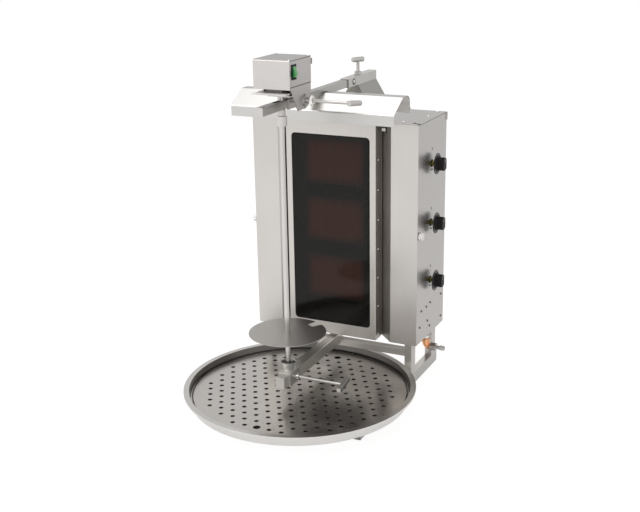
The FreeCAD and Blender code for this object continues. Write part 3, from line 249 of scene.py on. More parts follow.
def steel(name, color, rough, grain, side=0.76, up=0.70, top=1.0, down=1.0, edge=0.0006, dirt=0.03, gloss=0.0,
          dull=0.0, relief=0.05, inward=None, shade_along_x=None):
    """Brushed stainless steel, with long fine grain and faint clouding.

    Painted shade: faces that look sideways, up, straight up and down are darkened by side, up, top and down,
    for how each lies in the light. Gloss and dull make the sideways faces smoother and the downward ones
    rougher. Inward is a place and a painted shade for faces that look towards it. The last argument is where
    a painted shade of the upward faces begins and ends along x, and that shade.
    """
    s = Shader(name)
    lines = s.noise(1.0, 3.0, 0.55, GRAIN[grain])
    cloud = s.noise(6.0, 2.0, 0.5)
    tone = s.mottled(cloud, color, dirt)
    tone = s.multiply(tone, s.blend(s.spread(lines, 0.0, 1.0), (1.0 - STREAK,) * 3, (1.0 + STREAK,) * 3))
    sideways, upward, flat, under = s.facing()
    # painted shade: each face is darkened by the way it looks
    for amount, shade in ((sideways, (side, side * 1.005, side * 1.01)), (upward, (up, up * 0.99, up * 0.98)),
                          (flat, (top,) * 3), (under, (down,) * 3)):
        if shade[0] < 1.0:
            tone = s.shade(tone, amount, shade)
    # painted shade on the faces that look towards the given place
    if inward:
        centre, shade = inward
        tone = s.shade(tone, s.facing_point(centre), shade)
    # painted shade: the upward faces darken along x between the two given places
    if shade_along_x:
        start, end, shade = shade_along_x
        place = s.add("ShaderNodeSeparateXYZ")
        s.link(s.coord, "Object", place, 0)
        tone = s.shade(tone, s.math("MULTIPLY", s.ramp(place, start, end, 0.0, 1.0), upward), shade)
    s.paint(tone)
    s.put("Metallic", 1.0)
    rub = s.spread(cloud, rough - 0.015, rough + 0.02)
    if gloss:
        rub = s.math("SUBTRACT", rub, s.math("MULTIPLY", sideways, gloss))
    if dull:
        rub = s.math("ADD", rub, s.math("MULTIPLY", under, dull))
    s.link(rub, 0, s.bsdf, "Roughness")
    s.relief(lines, GRAIN_DEPTH, relief, edge)
    return s.mat


def plain(name, color, rough, metallic=0.0, scale=220.0, depth=0.00006, vary=0.12, edge=0.0005, coat=0.0,
          specular=0.5):
    """A cast, moulded, painted or turned surface with fine grit and slow change of tone."""
    s = Shader(name)
    grit = s.noise(scale, 4.0, 0.6)
    cloud = s.noise(24.0, 3.0, 0.5)
    s.paint(s.mottled(cloud, color, vary))
    s.put("Metallic", metallic)
    s.put("Specular IOR Level", specular)
    s.put("Coat Weight", coat)
    s.put("Coat Roughness", 0.08)
    s.link(s.spread(cloud, rough - 0.04, rough + 0.04), 0, s.bsdf, "Roughness")
    s.relief(grit, depth, 0.5, edge)
    return s.mat


def dark_glass():
    """Smoked glass: a glossy dark surface with faint streaks, through which a part of the light passes."""
    s = Shader("dark_glass")
    streak = s.noise(5.0, 3.0, 0.6, (1, 1, 0.4))
    s.paint(s.blend(s.spread(streak, 0.0, 1.0), (0.010, 0.010, 0.0095), (0.014, 0.0145, 0.0135)))
    s.link(s.spread(streak, 0.05, 0.10), 0, s.bsdf, "Roughness")
    s.put("Specular IOR Level", 0.56)
    s.relief(streak, 0.0001, 0.1, 0.0008)
    clear = s.add("ShaderNodeBsdfTransparent")
    clear.inputs[0].default_value = (0.62, 0.56, 0.53, 1.0)
    s.mix_shaders(0.58, s.bsdf, clear, s.out)
    return s.mat


def ceramic():
    """A burner tile full of small holes, with a faint painted glow in its middle, though the burners are
    unlit.
    """
    s = Shader("burner_ceramic")
    cells = s.add("ShaderNodeTexVoronoi")
    cells.inputs["Scale"].default_value = 420.0
    s.link(s.coord, "Object", cells, "Vector")
    holes = s.ramp(cells, 0.15, 0.45, 0.0, 1.0)
    cloud = s.noise(14.0, 4.0, 0.6)
    tone = s.blend(s.spread(cloud, 0.0, 1.0), (0.30, 0.13, 0.09), (0.46, 0.22, 0.15))
    s.paint(s.multiply(tone, s.blend(holes, (0.2, 0.18, 0.18), WHITE)))
    s.put("Roughness", 0.85)
    # painted glow: the tiles give off a little light in their middles, though no burner is lit
    s.put("Emission Color", (0.80, 0.23, 0.10, 1.0))
    s.link(s.math("MULTIPLY", s.painted_glow_zone(), 0.17), 0, s.bsdf, "Emission Strength")
    s.relief(holes, 0.0006, 0.8, 0.0)
    return s.mat


def green_lens():
    """The translucent rocker of the switch, faintly lit from inside."""
    s = Shader("green_lens")
    cloud = s.noise(60.0, 3.0, 0.5)
    s.paint(s.blend(s.spread(cloud, 0.0, 1.0), (0.03, 0.30, 0.06), (0.05, 0.40, 0.09)))
    s.put("Roughness", 0.18)
    s.put("Subsurface Weight", 0.25)
    s.put("Subsurface Scale", 0.004)
    s.put("Coat Weight", 0.5)
    s.put("Emission Color", (0.04, 0.45, 0.08, 1.0))
    s.put("Emission Strength", 0.05)
    s.relief(cloud, 0.00004, 0.4, 0.0006)
    return s.mat


PAN_CENTRE = tuple(P(PAN_X, PAN_Y, 0.0))
M = {
    # sheet metal; side, up, top and down darken the faces that look that way: painted shade
    "front": steel("steel_front", (0.680, 0.652, 0.625), 0.34, "z", side=0.71, gloss=0.02),
    "frame": steel("steel_frame", (0.680, 0.650, 0.618), 0.36, "z"),
    "core": steel("steel_core", (0.640, 0.610, 0.575), 0.38, "z", side=0.80),
    # painted shade: the lids, which lie on top, get a darker tone than the upright sheets
    "lid": steel("steel_lid", (0.570, 0.548, 0.525), 0.32, "y", side=0.78, up=0.58),
    # painted shade: besides its facing shades, the hood's upward faces darken towards its left end
    "hood": steel("steel_hood", (0.660, 0.650, 0.635), 0.34, "x", side=0.62, up=0.85, top=0.62, down=0.70,
                  dull=0.35, relief=0.02, shade_along_x=(-0.02, -0.20, (0.90, 0.905, 0.91))),
    "liner": plain("hood_liner_steel", (0.74, 0.715, 0.69), 0.6, metallic=0.3, vary=0.03, edge=0.0),
    # painted shade: the tower's steel is darker than the other sheet steel, for the shade under the sleeve
    "tower": steel("steel_tower_shaded", (0.46, 0.445, 0.42), 0.34, "z", side=0.62, up=0.80),
    "cover": steel("steel_cover", (0.695, 0.665, 0.645), 0.36, "x", side=0.675, up=0.38, edge=0.0004),
    "carriage": steel("steel_carriage", (0.695, 0.665, 0.645), 0.36, "z", side=0.675, up=0.38, down=0.35,
                      edge=0.0),
    # painted light: the motor plate is pale and only partly metal, so that its top looks light under the dark
    # motor box
    "deck": plain("deck_steel_painted_light", (0.80, 0.78, 0.76), 0.5, metallic=0.4, vary=0.03),
    "disc": steel("steel_disc", (0.45, 0.44, 0.425), 0.37, "n", up=0.74, relief=0.02),
    # painted shade and reflection: the plate's top grows darker along x, where the body's dark underside is
    # mirrored in it
    "plate": steel("steel_plate", (0.600, 0.580, 0.555), 0.26, "y", up=0.72, relief=0.02,
                   shade_along_x=(-0.06, 0.20, (0.68, 0.66, 0.64))),
    # painted shade: the inner wall of the pan, and its upward faces along x, are darkened
    "pan": steel("steel_pan", (0.72, 0.705, 0.685), 0.31, "n", side=1.0, up=0.66, relief=0.02,
                 shade_along_x=(0.0, 0.28, (0.58, 0.57, 0.56)), inward=(PAN_CENTRE, (0.30, 0.29, 0.28))),
    # tubes and bars, given tones that differ with the way each lies: painted light and shade
    "tube_y": steel("tube_lengthways", (0.56, 0.54, 0.51), 0.29, "y", side=0.80, up=0.90, edge=0.0014),
    "tube_x": steel("tube_crossways", (0.70, 0.675, 0.645), 0.31, "x", up=0.60, edge=0.0014),
    "tube_z": steel("tube_upright", (0.63, 0.61, 0.58), 0.31, "z", side=0.80, edge=0.0012),
    "arm": steel("arm_steel", (0.68, 0.66, 0.62), 0.36, "y", side=0.95, up=0.55, edge=0.0014),
    "rail": steel("rail_steel", (0.56, 0.54, 0.51), 0.29, "y", side=0.74, up=0.36, edge=0.0008),
    "sleeve": steel("sleeve_steel", (0.62, 0.60, 0.575), 0.30, "y", up=0.60, edge=0.0014),
    # turned and solid pieces
    "saddle": steel("steel_saddle", (0.86, 0.845, 0.82), 0.38, "n", side=0.56, up=0.62, relief=0.02),
    "spit": steel("steel_spit", (0.72, 0.70, 0.68), 0.24, "z", edge=0.0004, relief=0.02),
    "bright": steel("bright_turned", (0.80, 0.79, 0.775), 0.18, "n", side=0.8, up=0.8, edge=0.0005,
                    relief=0.02),
    "chrome": steel("chrome_dome", (0.95, 0.94, 0.93), 0.14, "n", side=1.0, up=1.0, edge=0.0, relief=0.01),
    "arm_rod": steel("arm_rod_steel", (0.62, 0.61, 0.59), 0.33, "n", side=0.38, up=0.85, edge=0.0005,
                     relief=0.02),
    "handle": steel("handle_steel", (0.58, 0.565, 0.545), 0.26, "n", side=0.85, up=0.75, edge=0.0005,
                    relief=0.02),
    "gear": steel("gear_steel", (0.62, 0.60, 0.575), 0.34, "n", dirt=0.06, up=0.9),
    # painted shade: the gear case is near black, for the shade it lies in under the motor cover
    "case": steel("gear_case_shaded_steel", (0.20, 0.195, 0.19), 0.40, "n", dirt=0.08),
    "burner": steel("burner_box_steel", (0.34, 0.30, 0.27), 0.45, "n", dirt=0.12),
    "oxide": plain("black_screw", (0.085, 0.082, 0.078), 0.35, metallic=1.0, vary=0.2),
    "weld": plain("weld_bead", (0.52, 0.49, 0.45), 0.32, metallic=1.0, scale=500.0, depth=0.0002),
    "brass": plain("aged_brass", (0.26, 0.22, 0.075), 0.38, metallic=1.0, vary=0.3),
    "copper": plain("bright_copper", (0.95, 0.47, 0.24), 0.28, metallic=1.0),
    # everything else
    "black": plain("black_plastic", (0.012, 0.010, 0.010), 0.55, specular=0.22),
    "cap": plain("grey_cap", (0.30, 0.295, 0.285), 0.5, depth=0.00008),
    "dark": plain("dark_paint", (0.05, 0.05, 0.055), 0.4, coat=0.3),
    "dial": plain("dial_face", (0.12, 0.12, 0.12), 0.42, metallic=0.6),
    "mark": plain("dial_mark", (0.72, 0.72, 0.70), 0.5),
    "slit": plain("dark_slit", (0.012, 0.012, 0.012), 0.7),
    "shade": plain("seam_shade", (0.16, 0.155, 0.15), 0.6),
    # painted shade: near black, laid under the plate so that its holes look dark
    "shade_film": plain("under_plate_shade_film", (0.022, 0.020, 0.018), 0.5, vary=0.2),
    "board": plain("insulation_board", (0.05, 0.047, 0.042), 0.9, scale=400.0, depth=0.0003, edge=0.0),
    "seal": plain("fibre_seal", (0.16, 0.155, 0.14), 0.9, scale=600.0, depth=0.0004),
    "glass": dark_glass(),
    "ceramic": ceramic(),
    "green": green_lens(),
}

NODE_LOOK = {
    "front": "housing_left housing_right rear_cover",
    "frame": "burner_frame",
    "core": "core_shell",
    "lid": "lid_left lid_right flue_box",
    "hood": "hood",
    "tower": "bracket_tower",
    "cover": "motor_cover rail_end_plug",
    "carriage": "carriage_frame",
    "deck": "motor_plate",
    "disc": "spit_disc",
    "plate": "pan_plate",
    "pan": "drip_pan",
    "tube_y": "base_rails",
    "tube_x": "cross_rail",
    "tube_z": "posts",
    "arm": "spit_arm",
    "rail": "top_rail",
    "sleeve": "rail_sleeve",
    "saddle": "cup_saddle bearing_cup cup_pin arm_end_cap",
    "spit": "spit_rod spit_sleeve",
    "bright": "body_screws side_knob_left side_knob_right",
    "arm_rod": "arm_clamp_handle",
    "handle": "clamp_collar rail_clamp_handle carriage_clamp_handle inlet_tap",
    "gear": "drive_pinion output_wheel",
    "case": "gear_case",
    "burner": "burner_boxes gas_manifold thermocouples",
    "brass": "gas_valves valve_stem_lower valve_stem_middle valve_stem_upper",
    "copper": "feed_pipes inlet_elbow",
    "black": "gas_knob_lower gas_knob_middle gas_knob_upper switch_housing cable_gland",
    "cap": "rail_end_caps",
    "dark": "motor_can",
    "seal": "glass_seal",
    "glass": "glass_pane",
    "ceramic": "ceramic_tiles",
    "green": "switch_rocker",
}
for look, names in NODE_LOOK.items():
    for name in names.split():
        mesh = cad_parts[name].data
        mesh.materials.clear()
        mesh.materials.append(M[look])


# ---------------------------------------------------------------- shapes
def frame_about(axis):
    """The unit vector along an axis, and two across it."""
    axis = axis.normalized()
    across = axis.cross(Z if abs(axis.z) < 0.9 else X).normalized()
    return axis, across, axis.cross(across)


def circle(base, axes, height, radius, sides, wave=None):
    """Points round an axis. The wave, if there is one, multiplies the radius at each turn."""
    axis, a, b = axes
    points = []
    for k in range(sides):
        turn = 2 * math.pi * k / sides
        r = radius * wave(turn) if wave else radius
        points.append(base + (axis * height + (a * math.cos(turn) + b * math.sin(turn)) * r) / MM_PER_M)
    return points


def rings_to_shell(rings, closed=False):
    """Joins rings of points into one closed shell: quads between rings, and a face over each end."""
    n = len(rings[0])
    verts = [p for ring in rings for p in ring]
    faces = []
    count = len(rings)
    for i in range(count if closed else count - 1):
        a, b = i * n, ((i + 1) % count) * n
        for k in range(n):
            m = (k + 1) % n
            faces.append((a + k, a + m, b + m, b + k))
    if not closed:
        faces.append(tuple(reversed(range(n))))
        faces.append(tuple(range((count - 1) * n, count * n)))
    return verts, faces


def turned(base, axis, profile, sides, wave=None):
    """A shape turned about an axis through base. The profile's rows are height and radius."""
    axes = frame_about(axis)
    return rings_to_shell([circle(base, axes, height, radius, sides, wave) for height, radius in profile])


def ring_of(base, axis, loop, sides=48):
    """A ring whose section is a closed loop of heights and radii."""
    axes = frame_about(axis)
    return rings_to_shell([circle(base, axes, height, radius, sides) for height, radius in loop], closed=True)


def washer(base, axis, inner, outer, thick):
    """A flat ring with a hole, its outer edges slightly cut off."""
    cut = 0.15
    return ring_of(base, axis, [(0, inner), (0, outer - cut), (cut, outer), (thick - cut, outer),
                                (thick, outer - cut), (thick, inner)])


def tube(points, radius, sides):
    """A round bar along a line of points. The radius may depend on the distance along it."""
    rings = []
    last = len(points) - 1
    across = None
    run = 0.0
    for i, point in enumerate(points):
        along = (points[min(i + 1, last)] - points[max(i - 1, 0)]).normalized()
        if across is None:
            across = along.cross(Z if abs(along.z) < 0.9 else X).normalized()
        across = (across - along * across.dot(along)).normalized()
        other = along.cross(across)
        if i:
            run += (point - points[i - 1]).length * MM_PER_M
        r = (radius(run) if callable(radius) else radius) / MM_PER_M
        rings.append([point + (across * math.cos(2 * math.pi * k / sides)
                               + other * math.sin(2 * math.pi * k / sides)) * r for k in range(sides)])
    return rings_to_shell(rings)


def block(centre, size, soft, turn=None):
    """A box with its edges rounded by soft, turned about its centre."""
    bm = bmesh.new()
    bmesh.ops.create_cube(bm, size=1.0)
    bmesh.ops.scale(bm, vec=[v / MM_PER_M for v in size], verts=bm.verts)
    bmesh.ops.bevel(bm, geom=bm.edges[:], offset=soft / MM_PER_M, segments=2, affect="EDGES")
    if turn:
        bmesh.ops.rotate(bm, cent=(0, 0, 0), matrix=turn, verts=bm.verts)
    bmesh.ops.translate(bm, vec=centre, verts=bm.verts)
    bm.verts.index_update()
    shell = ([v.co.copy() for v in bm.verts], [tuple(v.index for v in f.verts) for f in bm.faces])
    bm.free()
    return shell


def hexagon(turn):
    """Makes a circle of radius 1 into a hexagon of that half width."""
    return 1.0 / math.cos((turn % (math.pi / 3)) - math.pi / 6)


def nut(base, axis, flat, thick):
    """A hexagon nut with its ends cut back. Flat is half the distance across the flats."""
    cut, end = 0.45, flat * 0.93
    return turned(base, axis, [(0, end), (cut, flat), (thick - cut, flat), (thick, end)], 48, hexagon)


def screw_thread(base, axis, length, core, depth, pitch):
    """The ridges of a screw thread round a rod of radius core. The first and last ring lie on the rod."""
    sides, rings_per_turn = 20, 6
    axes = frame_about(axis)
    rows = int(length / pitch * rings_per_turn)
    rings = []
    for i in range(rows + 1):
        height = length * i / rows

        def reach(turn):
            phase = (height / pitch - turn / (2 * math.pi)) % 1.0
            ridge = 1.0 - abs(2.0 * phase - 1.0)
            return core + depth * (0.25 + 0.75 * ridge if 0 < i < rows else 0.0)
        rings.append(circle(base, axes, height, 1.0, sides, reach))
    return rings_to_shell(rings)


def weld(a, b, radius):
    """A rippled bead along a straight seam, thinner at its ends."""
    step, taper, ripples = 0.8, 2.0, 2.1
    length = (b - a).length * MM_PER_M
    rows = max(6, int(length / step))
    points = [a.lerp(b, i / rows) for i in range(rows + 1)]

    def ripple(run):
        fade = min(1.0, run / taper, (length - run) / taper)
        return radius * (0.45 + 0.45 * max(0.0, fade) + 0.10 * math.sin(run * ripples))
    return tube(points, ripple, 8)


def socket_head(base, axis):
    """A low round screw head, and the socket in it."""
    radius, height = 3.0, 1.6
    rows = [(0, radius), (height * 0.45, radius * 0.98), (height * 0.8, radius * 0.82),
            (height, radius * 0.5), (height * 0.98, radius * 0.42)]
    head = turned(base, axis, rows, 24)
    pit = turned(base + axis.normalized() * (height * 0.9) / MM_PER_M, axis,
                 [(0, radius * 0.38), (0.28, radius * 0.38)], 6)
    return head, pit


def piece(name, look, body, slot, *shells):
    """One named mesh made of closed shells, that rides on a body."""
    verts, faces = [], []
    for more_verts, more_faces in shells:
        start = len(verts)
        verts.extend(more_verts)
        faces.extend(tuple(start + i for i in face) for face in more_faces)
    mesh = bpy.data.meshes.new(name)
    mesh.from_pydata(verts, [], faces)
    bm = bmesh.new()
    bm.from_mesh(mesh)
    bmesh.ops.recalc_face_normals(bm, faces=bm.faces)
    bm.to_mesh(mesh)
    bm.free()
    mesh.materials.append(M[look])
    mesh.shade_smooth()
    mesh.set_sharp_from_angle(angle=math.radians(SHARP_ANGLE))
    made = bpy.data.objects.new(name, mesh)
    bpy.context.scene.collection.objects.link(made)
    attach(made, body)


def blocks(rows, soft):
    """Boxes with equally rounded edges. Each row is a centre and a size."""
    return [block(P(*centre), size, soft) for centre, size in rows]


# ---------------------------------------------------------------- knobs
STEM_COLLAR_X = 258.5
SKIRT_X = 268.0
GRIP_X = (269.5, 288.0)
POINTER_X = 289.0
DIAL_RADIUS = 23.2
GRIP_RADIUS = 17.2
MARK_START, MARK_STEP, MARK_COUNT = 200.0, 11.5, 13
RIB_STEP, RIB_HALF_COUNT, RIB_RADIUS = 9.0, 4, 0.55


def knob(which, z):
    """The dial, ribs and pointer of a gas knob, and the nut, washer and collar round its stem."""
    body = "knob_" + which
    face = P(SKIRT_X, KNOB_Y, z)
    piece("dial_face_" + which, "dial", body, "black", washer(face, X, 18.4, 27.6, 0.5))
    marks = []
    for k in range(MARK_COUNT):
        turn = math.radians(MARK_START + k * MARK_STEP)
        spot = face + X * 0.55 / MM_PER_M + (Y * math.cos(turn) + Z * math.sin(turn)) * DIAL_RADIUS / MM_PER_M
        marks.append(block(spot, (0.3, 1.7 + 0.16 * k, 0.7), 0.1, Matrix.Rotation(turn, 3, "X")))
    dot = face + (Z * DIAL_RADIUS + X * 0.4) / MM_PER_M
    marks.append(turned(dot, X, [(0, 1.6), (0.35, 1.5)], 20))
    piece("dial_marks_" + which, "mark", body, "black", *marks)
    ribs = []
    for k in range(-RIB_HALF_COUNT, RIB_HALF_COUNT + 1):
        for flip in (1, -1):
            turn = math.radians(90 + k * RIB_STEP)
            edge = (Y * math.cos(turn) + Z * math.sin(turn) * flip) * GRIP_RADIUS / MM_PER_M
            ribs.append(tube([P(x, KNOB_Y, z) + edge for x in GRIP_X], RIB_RADIUS, 8))
    piece("knob_ribs_" + which, "black", body, "black", *ribs)
    piece("knob_pointer_" + which, "mark", body, "black",
          block(P(POINTER_X, KNOB_Y, z + 10.0), (0.5, 1.6, 12.0), 0.15))
    panel = P(PANEL_RIGHT, KNOB_Y, z)
    piece("stem_nut_" + which, "brass", "stand", "brass", nut(panel, X, 7.0, 3.2),
          turned(P(PANEL_RIGHT + 3.0, KNOB_Y, z), X, [(0, 5.6), (0.4, 6.0), (2.4, 6.0), (2.8, 5.4)], 32))
    piece("stem_washer_" + which, "slit", "stand", "dark", washer(panel, X, 4.6, 10.5, 0.9))
    piece("stem_collar_" + which, "brass", body, "brass",
          turned(P(STEM_COLLAR_X, KNOB_Y, z), X, [(0, 5.0), (0.6, 5.6), (6.4, 5.6), (7.0, 5.0)], 32))


def knurl(turn):
    """Thirty grip ridges round a knob."""
    return 1.0 + 0.028 * math.cos(turn * 30.0)


for which, z in KNOB_Z.items():
    knob(which, z)
for name, x, way in SIDES:
    piece("thumb_knurl_" + name, "bright", "side_screw_" + name, "bright",
          turned(P(x, 282.0, 438.0) + way * 2.6 / MM_PER_M, way,
                 [(0, 11.0), (0.6, 11.35), (5.4, 11.35), (6.0, 11.0)], 120, knurl))

# ---------------------------------------------------------------- clamps
CLAMP_CORE, CLAMP_PITCH = 4.25, 1.75
RAIL_CLAMP_Y = 457
CARRIAGE_CLAMP_Y, CARRIAGE_CLAMP_Z = 38, 826.5
piece("rail_clamp_thread", "handle", "rail_clamp", "bright",
      screw_thread(P(0, RAIL_CLAMP_Y, 841.5), Z, 22.0, CLAMP_CORE, 0.55, CLAMP_PITCH))
piece("rail_clamp_nut", "handle", "stand", "bright", washer(P(0, RAIL_CLAMP_Y, 839.0), Z, 5.0, 9.0, 1.2))
piece("carriage_clamp_thread", "handle", "carriage_clamp", "bright",
      screw_thread(P(69.0, CARRIAGE_CLAMP_Y, CARRIAGE_CLAMP_Z), X, 14.0, CLAMP_CORE, 0.4, CLAMP_PITCH))
piece("carriage_clamp_boss", "chrome", "carriage", "bright",
      washer(P(62.0, CARRIAGE_CLAMP_Y, CARRIAGE_CLAMP_Z), X, 5.2, 13.0, 2.2),
      washer(P(64.0, CARRIAGE_CLAMP_Y, CARRIAGE_CLAMP_Z), X, 5.2, 9.5, 4.0))
piece("arm_clamp_collar", "bright", "saddle", "bright", washer(P(22.9, 5.0, 108.5), X, 4.4, 8.0, 5.5))
piece("sleeve_bolt_ring", "oxide", "stand", "dark", washer(P(12.5, 403.0, 818.5), X, 6.7, 9.0, 0.8))

# ---------------------------------------------------------------- rocker of the switch
LENS_ROWS = 16
LENS_PEAK = 0.68


def lens(front, rear, top, low, base_x, bulge):
    """A rocker cap: flat at the back, its face swelling out towards the lower end."""
    rings = []
    for i in range(LENS_ROWS + 1):
        t = i / LENS_ROWS
        if t < LENS_PEAK:
            swell = 0.10 + 0.90 * (t / LENS_PEAK) ** 1.2
        else:
            swell = 0.30 + 0.70 * math.cos((t - LENS_PEAK) / (1.0 - LENS_PEAK) * 1.4)
        out = base_x + bulge * swell
        z = top + (low - top) * t
        rings.append([P(base_x - 0.6, front, z), P(out - 0.4, front, z), P(out, front + 1.2, z),
                      P(out, rear - 1.2, z), P(out - 0.4, rear, z), P(base_x - 0.6, rear, z)])
    return rings_to_shell(rings)


piece("rocker_lens", "green", "rocker", "green",
      lens(front=-31.2, rear=-15.8, top=914.4, low=890.6, base_x=50.0, bulge=6.2))

# ---------------------------------------------------------------- cup and arm under the spit
CUP_SIDES = 56
piece("cup_flare", "saddle", "saddle", "bright",
      ring_of(P(0, 0, 133.0), Z, [(0, 15.3), (1.5, 16.0), (6, 17.2), (12, 18.9), (14.4, 19.6), (15.2, 19.5),
                                  (15.2, 18.7), (12, 17.8), (8, 15.3)], CUP_SIDES))
piece("cup_well", "slit", "saddle", "dark",
      ring_of(P(0, 0, 140.0), Z, [(0.4, 15.4), (4, 17.0), (4.4, 17.0), (8.2, 13.4), (8.2, 15.4)], CUP_SIDES))
# painted highlights: thin chrome bars along the arm's upper edges, where its rounded corners catch the light,
# thinner where the saddle slides over them
piece("arm_edge_highlights", "chrome", "stand", "steel",
      *[tube([P(x, y0, z), P(x, y1, z)], radius, 10)
        for x, y0, y1, z, radius in ((-12.0, 36.0, 76.0, 119.6, 0.6), (-12.0, 76.0, 290.0, 119.7, 1.3),
                                     (12.0, 76.0, 290.0, 119.7, 0.7))])

# ---------------------------------------------------------------- gas inlet
INLET_Y = 400
ELBOW_X = 232
piece("inlet_thread", "handle", "stand", "bright",
      screw_thread(P(275.0, INLET_Y, 79), X, 11.5, 6.6, 0.6, 1.8))
piece("inlet_solder", "weld", "stand", "copper",
      turned(P(ELBOW_X, INLET_Y, 100.5), Z, [(0, 8.2), (0.8, 9.1), (2.2, 9.1), (3.0, 8.3)], 36))
piece("inlet_union", "bright", "stand", "bright", nut(P(ELBOW_X, INLET_Y, 104.2), Z, 8.6, 8.0))

# ---------------------------------------------------------------- welds of the base
POSTS_X = ((-225.0, -205.0), (213.0, 233.0))
POSTS_Y = ((284.0, 314.0), (446.0, 476.0))
FLOOR_RAIL_TOP = 30
CROSS_Y = (294.0, 314.0)
CROSS_Z = (84.0, 104.0)
ARM_X = (-12.5, 12.5)
ARM_LOW = 91
POST_BEAD, CROSS_BEAD = 1.6, 1.5


def base_beads():
    """A bead round the foot of each post, and where the cross rail meets the posts and the arm."""
    for x0, x1 in POSTS_X:
        for y0, y1 in POSTS_Y:
            for x in (x0, x1):
                yield weld(P(x, y0, FLOOR_RAIL_TOP), P(x, y1, FLOOR_RAIL_TOP), POST_BEAD)
            for y in (y0, y1):
                yield weld(P(x0, y, FLOOR_RAIL_TOP), P(x1, y, FLOOR_RAIL_TOP), POST_BEAD)
        inner = min(x0, x1, key=abs)
        for z in CROSS_Z:
            yield weld(P(inner, CROSS_Y[0], z), P(inner, CROSS_Y[1], z), CROSS_BEAD)
        for y in CROSS_Y:
            yield weld(P(inner, y, CROSS_Z[0]), P(inner, y, CROSS_Z[1]), CROSS_BEAD)
    for x in ARM_X:
        front, top = CROSS_Y[0], CROSS_Z[1]
        yield weld(P(x, front, ARM_LOW), P(x, front, top), CROSS_BEAD)
        yield weld(P(x, front, top), P(x, CROSS_Y[1] - 1.0, top), CROSS_BEAD)


piece("base_welds", "weld", "stand", "tube", *base_beads())

# ---------------------------------------------------------------- screws, rivets and slots of the panels
PAN_HEAD = [(0, 3.3), (0.9, 3.1), (1.5, 2.5), (1.9, 1.4)]
SMALL_HEAD = [(0, 2.6), (0.9, 2.5), (1.5, 1.6)]
LID_DOME = [(0, 2.7), (0.4, 2.6), (0.8, 2.1), (1.1, 1.2), (1.2, 0.4)]
RIVET_DOME = [(0, 2.7), (0.5, 2.5), (1.0, 1.8), (1.25, 0.7)]
COVER_DOME = [(0, 2.3), (0.4, 2.2), (0.8, 1.7), (1.0, 0.6)]
TAB_DOME = [(0, 3.0), (0.8, 2.9), (1.1, 2.0)]
PANEL_SCREW_YZ = ((377.0, 221.0), (347.0, 218.0), (307.5, 218.0), (356.0, 174.0), (374.0, 153.0),
                  (296.0, 174.0), (464.0, 218.0), (465.0, 151.0))
REAR_SCREW_X = (-118.0, 118.0)
REAR_SCREW_Z = (150.0, 335.0, 530.0, 715.0)
REAR_Y = 520.0
RIVET_X, RIVET_Y = 133.5, 285.5
RIVET_Z = (141.0, 223.3, 305.6, 387.9, 470.2, 552.5, 634.8)

for name, x, way in SIDES:
    piece("panel_screws_" + name, "oxide", "stand", "dark",
          *[turned(P(x, y, z) + way * 0.2 / MM_PER_M, way, PAN_HEAD, 20) for y, z in PANEL_SCREW_YZ])
piece("valve_fixings", "oxide", "stand", "dark",
      *[turned(P(PANEL_RIGHT + 0.2, KNOB_Y, z - 17.0), X, SMALL_HEAD, 20) for z in KNOB_Z.values()])
piece("valve_slots", "slit", "stand", "dark",
      *[block(P(PANEL_RIGHT - 0.1, KNOB_Y, z + 39.5), (1.0, 2.2, 7.6), 0.1) for z in KNOB_Z.values()])
heads, pits = zip(*[socket_head(P(x, REAR_Y, z), Y) for x in REAR_SCREW_X for z in REAR_SCREW_Z])
piece("rear_screws", "bright", "stand", "bright", *heads)
piece("rear_screw_sockets", "slit", "stand", "dark", *pits)
piece("rear_board", "board", "stand", "dark", block(P(0, 501.5, 432.0), (257.0, 3.0, 602.0), 0.3))

# ---------------------------------------------------------------- grooves beside the glass
piece("groove_rivet_domes", "chrome", "stand", "bright",
      *[turned(P(RIVET_X * way, RIVET_Y, z), X * way, RIVET_DOME, 20) for way in (1, -1) for z in RIVET_Z])
piece("groove_bracket", "arm_rod", "stand", "bright", block(P(146.5, 292.0, 715.5), (11.0, 3.0, 8.5), 0.4))
# painted shadow: near-black blocks in the top of the groove beside the glass
piece("groove_top_shadow", "slit", "stand", "dark",
      *blocks((((157.0, 292.0, 715.0), (12.0, 3.0, 14.0)), ((144.0, 293.0, 729.0), (20.0, 8.0, 12.0))), 0.4))
# painted shade: a dark strip deep in the groove, down its whole height
piece("groove_back_shade", "burner", "stand", "steel", block(P(132.4, 309.6, 431.0), (2.8, 2.0, 603.0), 0.2))

# ---------------------------------------------------------------- lids
LID_TOP = 739.4
LID_SCREWS = ((200.0, 294.0, 1.0), (231.0, 398.0, 0.6), (229.0, 472.0, 0.8),
              (-181.5, 294.0, 1.0), (-212.5, 398.0, 0.6), (-210.5, 472.0, 0.8))    # x, y and scale
piece("lid_seams", "shade", "stand", "dark",
      *blocks([((x, 377.0, 736.2), (0.5, 214.0, 1.3)) for _, x, _ in SIDES], 0.1))
piece("lid_corner_gaps", "slit", "stand", "dark",
      *blocks((((233.0, 291.0, 738.0), (9.0, 8.0, 0.9)), ((247.4, 282.0, 738.0), (8.0, 9.0, 0.9)),
               ((-216.0, 291.0, 737.9), (8.5, 5.0, 0.8))), 0.1))
piece("lid_screw_domes", "chrome", "stand", "bright",
      *[turned(P(x, y, LID_TOP), Z, [(h, r * scale) for h, r in LID_DOME], 24) for x, y, scale in LID_SCREWS])
piece("lid_hem_corner", "front", "stand", "steel", block(P(253.1, 482.5, 727.0), (2.6, 7.0, 21.0), 0.4))

